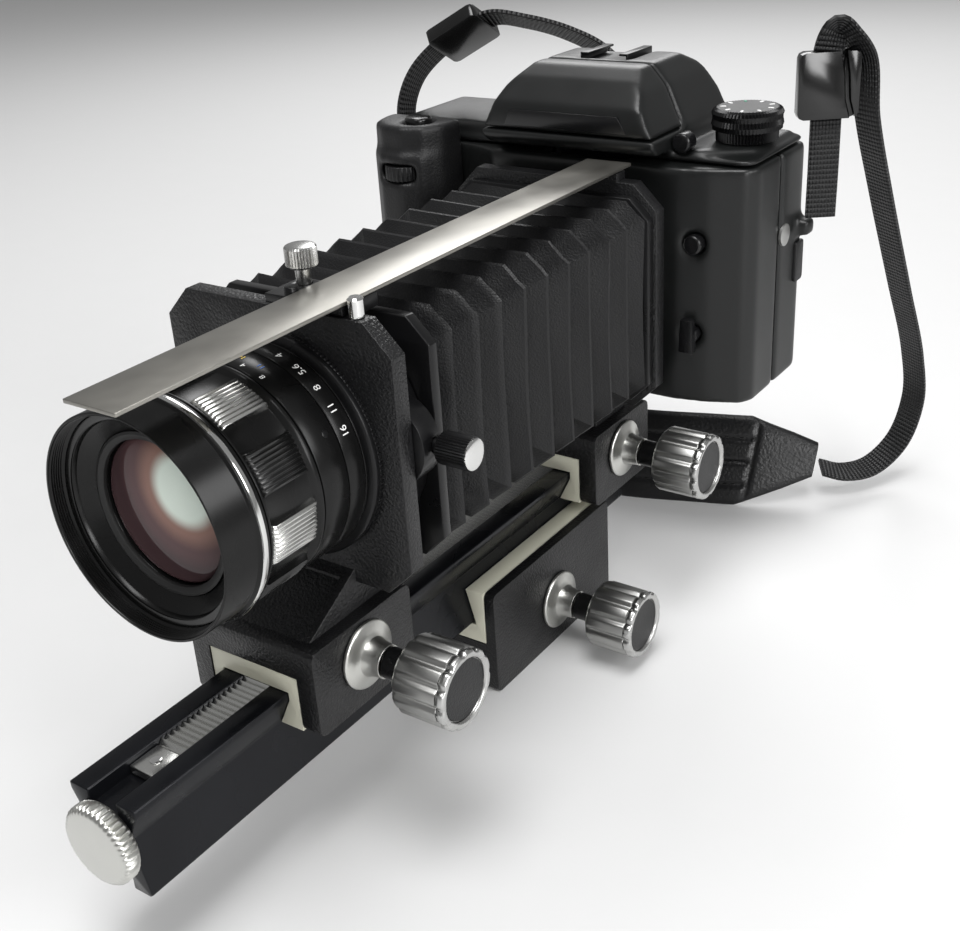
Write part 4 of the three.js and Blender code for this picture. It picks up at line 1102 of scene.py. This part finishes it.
# ---------------------------------------------------------------- standards and bellows
@dataclass
class Standards:
    """Front and rear standards with liners, frames, ring, clamps and drives.

    Attributes:
        edge: bevel of the castings, in millimetres.
    """

    edge: float = 0.9

    def lock_screw(self, shop: Workshop) -> None:
        """Makes the knurled screw that locks the turning ring."""
        loops = []
        shank = turned([(0, -10.2), (2.1, -10.2), (2.1, 0.4), (0, 0.4)], 48, 0, closed=False)
        for r, dip, h in ((1.5, 0, 0), (3.9, 0, 0), (4.5, 0.25, 0.5), (4.6, 0.35, 1.0), (4.6, 0.35, 9.4), (4.4, 0.2, 9.9)):
            loops.append([
                ((r - dip * (i % 2)) * math.cos(i / 72 * math.tau), (r - dip * (i % 2)) * math.sin(i / 72 * math.tau), h)
                for i in range(72)
            ])
        place = along("x", (44.6, -89.6, 121.5))
        shop.piece("lock_screw_shank", shank, BLACK_METAL, "bellows_lock", ["bellows_lock_screw"], turn=place)
        shop.piece("lock_screw_head", lofted(loops), BLACK_METAL, "bellows_lock", turn=place, angle=20)
        face = turned([(0, 9.8), (0, 10.6), (3.4, 10.6), (4.3, 10.2), (4.3, 9.8)], 64, 0, closed=False)
        shop.piece("lock_screw_face", face, CHROME, "bellows_lock", turn=place)

    def thumb_screw(self, shop: Workshop) -> None:
        """Makes the knurled thumb screw of the scale clamp and the bright pin beside it."""
        loops = []
        for r, dip, h in ((2.1, 0, 156.5), (2.1, 0, 164.8), (3.9, 0.1, 165.0), (4.4, 0.4, 165.5), (4.4, 0.4, 170.2),
                          (4.0, 0.2, 170.7), (3.0, 0, 171.0)):
            loops.append([
                ((r - dip * (i % 2)) * math.cos(i / 64 * math.tau), (r - dip * (i % 2)) * math.sin(i / 64 * math.tau), h)
                for i in range(64)
            ])
        at = Matrix.Translation((2.6, -89.6, 0))
        shop.piece("thumb_screw_knurled", lofted(loops), RIM, "scale_lock", ["scale_thumb_screw"], turn=at, angle=20)
        pin = turned([(0, 157.8), (2.15, 157.8), (2.15, 162.4), (1.6, 163.0), (0, 163.0)], 40, 0, closed=False)
        shop.piece("scale_pin", pin, CHROME, "front", turn=Matrix.Translation((27.3, -98.2, 0)))

    def build(self, shop: Workshop) -> None:
        """Makes both standards."""
        shop.softened("front_standard", ENAMEL, "front", self.edge, 2)
        shop.softened("rear_standard", ENAMEL, "rear", self.edge, 2)
        shop.softened("front_liner", NYLON, "front", 0.3)
        shop.softened("rear_liner", NYLON, "rear", 0.3)
        shop.softened("turning_ring", BLACK_METAL, "front", 0.7, 2)
        shop.softened("bellows_front_frame", BLACK_METAL, "front", 0.4)
        shop.softened("bellows_rear_frame", BLACK_METAL, "rear", 0.4)
        shop.softened("scale_clamp", BLACK_METAL, "front", 0.4)
        self.thumb_screw(shop)
        shop.softened("scale_plate", SCALE, "rear", 0.2)
        shop.softened("camera_mount_ring", STEEL, "rear", 0.3)
        shop.dress("front_pinion", STEEL)
        shop.dress("rear_pinion", STEEL)
        self.lock_screw(shop)
        Drive("front", "front_drive", "front", 23.5, -105.2, 58.3113).build(shop)
        Drive("rear", "rear_drive", "rear", 23.5, 44.4, 58.3113).build(shop)
        LOG.info("made the standards")


@dataclass
class Bellows:
    """Pleated skin with chamfered corners, in two pieces that meet on a ridge.

    Attributes:
        front: front end.
        rear: rear end.
        meet: where the two pieces meet.
        first_ridge: place of the first ridge.
        pitch: distance between ridges.
        ridges: number of ridges; not used.
        half_x: half width at a ridge.
        half_z: half height at a ridge.
        depth: depth of the valleys.
    """

    front: float = -80.5
    rear: float = 35.4
    meet: float = 11.3
    first_ridge: float = -73.0
    pitch: float = 12.1
    ridges: int = 9
    half_x: float = 37.8
    half_z: float = 35.3
    depth: float = 8.2

    def fold(self, y: float) -> float:
        """Depth of the skin under its ridges, from 0 to 1, at a place along the axis."""
        u = (y - self.first_ridge) / self.pitch
        tri = abs(u - round(u)) * 2
        return min(1.0, max(0.0, tri - 0.05) * 1.08) ** 0.92

    def loop(self, y: float) -> Loop:
        """One loop of the skin.

        Args:
            y: place along the axis.

        Returns:
            Points round an octagon, with finer steps along its sides.
        """
        d = self.fold(y) * self.depth
        phase = (y - self.first_ridge) / self.pitch
        wave = 0.35 * math.sin(phase * 2.1) + 0.2 * math.sin(phase * 5.3 + 1)
        hx, hz = self.half_x - d + wave * 0.3, self.half_z - d * 0.94
        cut_x, cut_z = 7.0 - d * 0.32, 6.0 - d * 0.26
        corners = [(hx, -hz + cut_z), (hx, hz - cut_z), (hx - cut_x, hz), (-hx + cut_x, hz),
                   (-hx, hz - cut_z), (-hx, -hz + cut_z), (-hx + cut_x, -hz), (hx - cut_x, -hz)]
        points = []
        for k, (a, b) in enumerate(zip(corners, corners[1:] + corners[:1])):
            steps = 10 if k % 2 == 0 else 3
            for i in range(steps):
                t = i / steps
                x, z = a[0] + (b[0] - a[0]) * t, a[1] + (b[1] - a[1]) * t
                sag = 0.5 * math.sin(math.pi * t) * (1 if k % 2 == 0 else 0)
                side = Vector((x, 0, z)).normalized() * sag * (1 - self.fold(y))
                points.append((x - side.x, y + 0.25 * math.sin(t * 6 + phase * 3), AXIS_Z + z - side.z))
        return points

    def skin(self, start: float, end: float) -> bmesh.types.BMesh:
        """A stretch of the skin.

        Args:
            start: where it starts.
            end: where it ends.

        Returns:
            The mesh.
        """
        count = max(8, round((end - start) / self.pitch * 16))
        return lofted([self.loop(start + (end - start) * i / count) for i in range(count + 1)], False, False)

    def build(self, shop: Workshop) -> None:
        """Makes both pieces."""
        fore = shop.piece("bellows_front_part", self.skin(self.front, self.meet), SKIN, None,
                          ["bellows_skin"], angle=24)
        aft = shop.piece("bellows_rear_part", self.skin(self.meet, self.rear), SKIN, None, angle=24)
        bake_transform(fore)
        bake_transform(aft)
        LOG.info("made the bellows")


# ---------------------------------------------------------------- lens
@dataclass
class Lens:
    """Short telephoto lens with a zebra focus ring, on the optical axis.

    Attributes:
        lands: raised lands of the focus ring, bright and black in turn.
        first_land: where the middle of the first bright land stands, in degrees.
        land_arc: width of a land in degrees.
        ribs: ribs along each land.
        figures: aperture figures and where they stand.
    """

    lands: int = 10
    first_land: float = 62.9
    land_arc: float = 22.5
    ribs: int = 9
    figures: tuple[tuple[str, float], ...] = (("4", 73.0), ("5.6", 60.5), ("8", 48.0), ("11", 36.0), ("16", 24.0))

    @staticmethod
    def ring(shop: Workshop, name: str, profile: Profile, finish: Finish, body: str,
             nodes: Iterable[str] = (), soft: float = 0.12, closed: bool = True) -> None:
        """Turns one ring on the optical axis.

        Args:
            shop: the workshop.
            name: the piece's name.
            profile: (radius, place along the axis) points.
            finish: its finish.
            body: its body.
            nodes: the CAD nodes it replaces.
            soft: bevel of its corners.
            closed: True for a ring, False for a disc that closes on the axis.
        """
        shop.piece(name, turned(profile, 160, soft, closed), finish, body, nodes, turn=along("y", (0, 0, AXIS_Z)))

    def land(self, middle: float) -> bmesh.types.BMesh:
        """One raised land of the focus ring with sloping ends.

        Args:
            middle: angle of its middle in degrees from +X towards +Z.

        Returns:
            The mesh, in place.
        """
        loops = []
        for r, y, shrink in ((29.4, -140.9, 0.0), (30.9, -140.2, 0.4), (31.35, -139.5, 1.0), (31.35, -125.4, 1.0),
                             (30.9, -124.7, 0.4), (29.4, -124.0, 0.0)):
            half = math.radians(self.land_arc / 2 - shrink)
            top, base = [], []
            steps = self.ribs * 6
            for i in range(steps + 1):
                t = math.radians(middle) - half + 2 * half * i / steps
                edge = 0.42 * (0.5 + 0.5 * math.cos(i / 6 * math.tau)) ** 0.8
                top.append(((r - edge) * math.cos(t), y, AXIS_Z + (r - edge) * math.sin(t)))
                base.append((28.9 * math.cos(t), y, AXIS_Z + 28.9 * math.sin(t)))
            loops.append(top + base[::-1])
        return lofted(loops)

    def thread(self, low: float, high: float, outer: float, inner: float) -> list[tuple[float, float]]:
        """Profile of the filter thread inside the rim.

        Args:
            low: front end.
            high: rear end.
            outer: radius at the thread's root.
            inner: radius at its crest.

        Returns:
            (radius, place) points.
        """
        count = round((high - low) / 0.75)
        points = []
        for i in range(count):
            y = low + (high - low) * i / count
            points += [(outer, y + 0.1), (inner, y + 0.4)]
        return points

    def build(self, shop: Workshop) -> None:
        """Makes the lens."""
        shell = [(31.0, -157.4), (31.0, -146.6), (31.9, -146.1), (31.9, -143.9), (31.2, -143.6), (31.2, -142.4),
                 (26.5, -142.2), (26.5, -118.2), (24.5, -118.2), (24.5, -143.5), (20.6, -143.8), (20.6, -147.0),
                 (26.8, -151.2), (27.2, -152.4), (29.2, -152.6)]
        shell += [*reversed(self.thread(-157.2, -152.9, 30.2, 29.75)), (30.3, -157.5), (30.8, -157.5)]
        self.ring(shop, "lens_front_shell", shell, LENS_SATIN, "lens_front", ["lens_front_barrel"], 0.08)
        band = [(31.6, -145.9), (32.3, -145.7), (32.4, -145.4), (32.4, -144.6), (32.3, -144.3), (31.6, -144.1)]
        self.ring(shop, "lens_trim_line", band, CHROME, "lens_front", soft=0.0)
        bare = [(29.15, -152.75), (29.15, -153.05), (28.4, -153.05), (27.3, -152.75)]
        self.ring(shop, "lens_bare_ring", bare, LENS_BLACK, "lens_front", soft=0.05)
        retain = [(22.6, -148.7), (21.8, -148.9), (20.3, -148.3), (20.3, -147.2), (21.4, -147.4)]
        self.ring(shop, "lens_retaining_ring", retain, LENS_MATT, "lens_front", soft=0.08)
        dome = [(20.2, -144.4), (20.2, -145.9)]
        dome += [(20.2 * math.cos(math.radians(a)), -145.9 - 2.4 * math.sin(math.radians(a))) for a in range(10, 90, 8)]
        dome += [(0, -148.3)]
        glass = shop.piece("front_element", turned([(0, -144.4), *dome], 128, 0, False), LENS_BLACK, "lens_front",
                           ["front_glass"], turn=along("y", (0, 0, AXIS_Z)), angle=30)
        # Both glass elements get a base colour with a painted reflection patch and a painted tinted edge.
        glass.data.materials[0] = glass_with_painted_reflection("front_glass_painted_reflection", (0.004, 0.012, 0.012), (0.10, 0.05, 0.055))
        shop.frame["nodes"]["rear_glass"].data.materials.clear()
        rear_painted_reflection = glass_with_painted_reflection("rear_glass_painted_reflection", (0.01, 0.02, 0.03), (0.05, 0.04, 0.06))
        shop.frame["nodes"]["rear_glass"].data.materials.append(rear_painted_reflection)
        valley = [(29.6, -141.9), (30.9, -141.6), (30.9, -141.0), (29.5, -140.4), (29.5, -124.4), (30.9, -123.6),
                  (31.2, -123.0), (31.2, -122.2), (27.2, -122.2), (27.2, -141.9)]
        self.ring(shop, "focus_ring_valleys", valley, LENS_SATIN, "focus", ["focus_ring"], 0.15)
        pitch = 360 / self.lands
        for kind, finish, start in (("bright", LAND_BRIGHT, 0), ("black", LENS_BLACK, 1)):
            parts = [self.land(self.first_land + (k + start) * pitch) for k in range(0, self.lands, 2)]
            shop.piece(f"focus_lands_{kind}", joined(parts), finish, "focus", angle=40)
        fixed = [(31.0, -121.7), (31.2, -121.4), (31.2, -112.6), (31.0, -112.3), (29.0, -112.3), (29.0, -105.3),
                 (30.8, -105.1), (30.8, -104.6), (26.0, -98.2), (24.0, -98.2), (24.0, -121.7)]
        self.ring(shop, "lens_fixed_barrel", fixed, LENS_SATIN, "front", ["lens_barrel"], 0.1)
        scallop = [(29.3, -112.0), (31.0, -112.0), (31.2, -111.7), (31.2, -106.1), (31.0, -105.7), (29.3, -105.7)]
        self.ring(shop, "aperture_ring_body", scallop, LENS_SATIN, "aperture", ["aperture_ring"], 0.1)
        base = [(22.0, -104.4), (32.4, -104.4), (33.3, -103.9), (33.3, -102.3), (33.0, -102.1), (33.0, -99.6),
                (33.4, -99.4), (33.4, -95.7), (22.0, -95.7)]
        self.ring(shop, "lens_mount_base", base, BLACK_METAL, "front", ["lens_mount_ring"], 0.1)
        edge = [(33.0, -99.7), (33.45, -99.6), (33.45, -98.9), (33.0, -98.8)]
        self.ring(shop, "lens_mount_bright_line", edge, CHROME, "front", soft=0.0)
        knurl = []
        for y, grow in ((-102.2, 0), (-101.9, 0.3), (-100.2, 0.3), (-99.9, 0)):
            knurl.append([
                ((33.0 + grow * (i % 2)) * math.cos(i / 320 * math.tau), y,
                 AXIS_Z + (33.0 + grow * (i % 2)) * math.sin(i / 320 * math.tau)) for i in range(320)
            ])
        shop.piece("lens_mount_knurl", lofted(knurl), BLACK_METAL, "front", angle=15)
        self.marks(shop)
        LOG.info("made the lens")

    def marks(self, shop: Workshop) -> None:
        """Adds the aperture and depth figures and the small screw."""
        parts = [wrapped_text(text, 2.3, 31.26, angle, -108.9) for text, angle in self.figures]
        shop.piece("aperture_figures", joined(parts), WHITE, "aperture")
        small = [wrapped_text(text, 1.7, 31.26, angle, -119.4) for text, angle in (("8", 66), ("4", 78), ("4", 90))]
        shop.piece("depth_figures_white", joined(small), WHITE, "front")
        shop.piece("depth_figures_yellow", wrapped_text("16", 1.7, 31.26, 84, -116.4), YELLOW, "front")
        shop.piece("depth_figures_blue", wrapped_text("11", 1.7, 31.26, 72, -116.4), BLUE, "front")
        screw = turned([(0, 31.1), (1.05, 31.1), (1.05, 31.3), (0.8, 31.4), (0, 31.4)], 32, 0, closed=False)
        t = math.radians(27.5)
        way = Vector((math.cos(t), 0, math.sin(t)))
        place = Matrix.Translation((0, -115.4, AXIS_Z)) @ way.to_track_quat("Z", "Y").to_matrix().to_4x4()
        shop.piece("barrel_screw", screw, BLACK_METAL, "front", turn=place)


# ---------------------------------------------------------------- camera body
@dataclass
class CameraBody:
    """Reflex camera body with its controls.

    Attributes:
        cell: size of the cells by which the moulded shells are rounded, in millimetres.
        passes: smoothing passes over them.
    """

    cell: float = 0.85
    passes: int = 14

    def moulded(self, shop: Workshop, node: str, finish: Finish, body: str) -> None:
        """Stands a rounded moulding in for a CAD shell.

        Args:
            shop: the workshop.
            node: the CAD node.
            finish: its finish.
            body: its body.
        """
        holder = bpy.data.objects.new("moulding", shop.frame["nodes"][node].data.copy())
        bpy.context.scene.collection.objects.link(holder)
        holder.matrix_world = shop.frame["nodes"][node].matrix_world.copy()
        remesh = holder.modifiers.new("cells", "REMESH")
        remesh.mode = "VOXEL"
        remesh.voxel_size = self.cell * MM
        bpy.context.view_layer.update()
        seen = holder.evaluated_get(bpy.context.evaluated_depsgraph_get())
        bm = bmesh.new()
        bm.from_mesh(seen.to_mesh())
        seen.to_mesh_clear()
        bpy.data.objects.remove(holder)
        for _ in range(self.passes):
            bmesh.ops.smooth_vert(bm, verts=bm.verts, factor=0.5, use_axis_x=True, use_axis_y=True, use_axis_z=True)
        shop.piece(f"{node}_moulded", bm, finish, body, [node], scale=1.0, angle=80)

    def trims(self, shop: Workshop) -> None:
        """Adds the badge, the index dots, the port cover, the screen's frame and the rear controls."""
        badge = turned([(0, 63.6), (0, 64.8), (3.1, 64.8), (3.9, 64.5), (3.9, 63.6)], 64, 0, closed=False)
        shop.piece("round_badge", badge, SATIN, "rear", turn=along("x", (0, 88.0, 131.0)))
        for k, (x, z) in enumerate(((-6.0, 152.6), (4.5, 152.6))):
            dot = turned([(0, 0), (1.1, 0), (1.1, 0.5), (0.8, 0.8), (0, 0.8)], 24, 0, closed=False)
            shop.piece(f"index_dot_{k}", dot, WHITE, "rear", turn=along("y", (x, 52.6, z)) @ Matrix.Rotation(math.pi, 4, "X"))
        cover = slab(rounded(3.4, 7.5, 1.6), 63.2, 65.0, 0.4)
        shop.piece("port_cover", cover, RUBBER, "rear", turn=along("x", (0, 101.0, 118.0)))
        back = 107.2
        frame = slab(rounded(33, 25, 2.5), -0.6, 0.5, 0.3)
        shop.piece("screen_frame", frame, BODY_SMOOTH, "rear", turn=along("y", (15, back, 114)))
        window = slab(rounded(29, 22, 1.5), -0.2, 1.0, 0.15)
        shop.piece("screen_glass", window, SCREEN, "rear", ["lcd_window"], turn=along("y", (15, back, 114)))
        for k, z in enumerate((147.0, 134.0, 124.0, 114.0, 104.0)):
            cap = turned([(0, -1), (3.2, -1), (3.2, 0.7), (2.7, 1.2), (0, 1.3)], 48, 0, closed=False)
            shop.piece(f"rear_key_{k}", cap, BODY_SMOOTH, "rear", turn=along("y", (-25.0, back, z)))
        wheel = turned([(4.4, -1), (12.5, -1), (12.5, 0.9), (11.7, 1.5), (5.0, 1.5), (4.4, 0.9)], 96, 0.1)
        shop.piece("rear_pad_ring", wheel, BODY_SMOOTH, "rear", turn=along("y", (-46.0, back, 122)))
        middle = turned([(0, -1), (3.9, -1), (3.9, 0.9), (3.4, 1.3), (0, 1.3)], 48, 0, closed=False)
        shop.piece("rear_pad_centre", middle, GLOSS, "rear", turn=along("y", (-46.0, back, 122)))
        rest = slab(rounded(11.5, 27, 6), -0.8, 1.2, 0.6)
        shop.piece("thumb_rest", rest, RUBBER, "rear", turn=along("y", (-67.0, back, 126)))
        window = slab(rounded(9.5, 6.5, 2), 0, 0.8, 0.2)
        shop.piece("finder_window", window, SCREEN, "rear", turn=along("y", (0, 107.2, 171.2)))
        brand = slab([(-24, 0), (24, 0), (21, 5.6), (-21, 5.6)], -0.2, 0.45, 0.25)
        slope = Matrix.Translation((0, 48.0, 171.2)) @ Matrix.Rotation(math.radians(96), 4, "X")
        shop.piece("bare_front_panel", brand, BODY_SMOOTH, "rear", turn=slope)

    def dial(self, shop: Workshop) -> None:
        """Makes the mode dial with its diamond knurl and plain marks."""
        loops = []
        for h, grow in ((164.9, -1.2), (168.3, -1.2), (168.5, 0.0), (170.2, 0.35), (172.0, 0.0), (173.8, 0.35),
                        (174.9, -0.2), (175.5, -1.2), (175.5, -4.0)):
            shift = 0.5 if 170 < h < 173 else 0.0
            loops.append([
                ((11.4 + grow + 0.35 * math.cos((i + shift * 4) / 4 * math.tau)) * math.cos(i / 240 * math.tau),
                 (11.4 + grow + 0.35 * math.cos((i + shift * 4) / 4 * math.tau)) * math.sin(i / 240 * math.tau), h)
                for i in range(240)
            ])
        at = Matrix.Translation((51.6, 82, 0))
        shop.piece("mode_dial_knurled", lofted(loops), BLACK_METAL, "mode", ["mode_dial"], turn=at, angle=25)
        for k in range(9):
            mark = slab(rounded(1.0, 0.45, 0.3, 2), 175.45, 175.62, 0.05, 1)
            spin = at @ Matrix.Rotation(math.radians(k * 40), 4, "Z") @ Matrix.Translation((8.2, 0, 0))
            finish = GREEN if k == 3 else WHITE
            shop.piece(f"mode_mark_{k}", mark, finish, "mode", turn=spin)

    def build(self, shop: Workshop) -> None:
        """Makes the body and its controls."""
        for node, finish, body in (
            ("body_front_shell", BODY, "rear"), ("body_back_shell", BODY, "rear"), ("body_top_cover", BODY, "rear"),
            ("grip", RUBBER, "rear"), ("flash_head", BODY, "flash"), ("eyecup", RUBBER, "rear"),
        ):
            self.moulded(shop, node, finish, body)
        shop.softened("body_mount_ring", STEEL, "rear", 0.4)
        shop.softened("hot_shoe", BLACK_METAL, "rear", 0.25)
        shop.softened("shutter_button", GLOSS, "shutter", 0.5, 3)
        shop.softened("front_dial", RUBBER, "control_wheel", 0.15, 1)
        shop.softened("flash_button", BODY_SMOOTH, "flash_key", 0.4, 3)
        shop.softened("raw_button", BODY_SMOOTH, "format_key", 0.4, 3)
        shop.softened("af_lever", BODY_SMOOTH, "focus_lever", 0.4, 2)
        shop.dress("mirror_box", LENS_MATT)
        shop.dress("mirror", MIRROR)
        shop.dress("pentaprism", SCREEN)
        shop.dress("image_sensor", SENSOR)
        self.dial(shop)
        self.trims(shop)
        LOG.info("made the camera body")


def main() -> None:
    """Builds the whole scene in order and logs how many pieces were made."""
    logging.basicConfig(level=logging.INFO, format="%(message)s")
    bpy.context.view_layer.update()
    Studio().build()
    shop = Workshop(frame)
    for assembly in (Strap(), RailAndBlock(), Standards(), Bellows(), Lens(), CameraBody()):
        assembly.build(shop)
    LOG.info("made %d pieces", len(shop.made))


if __name__ == "__main__":
    main()
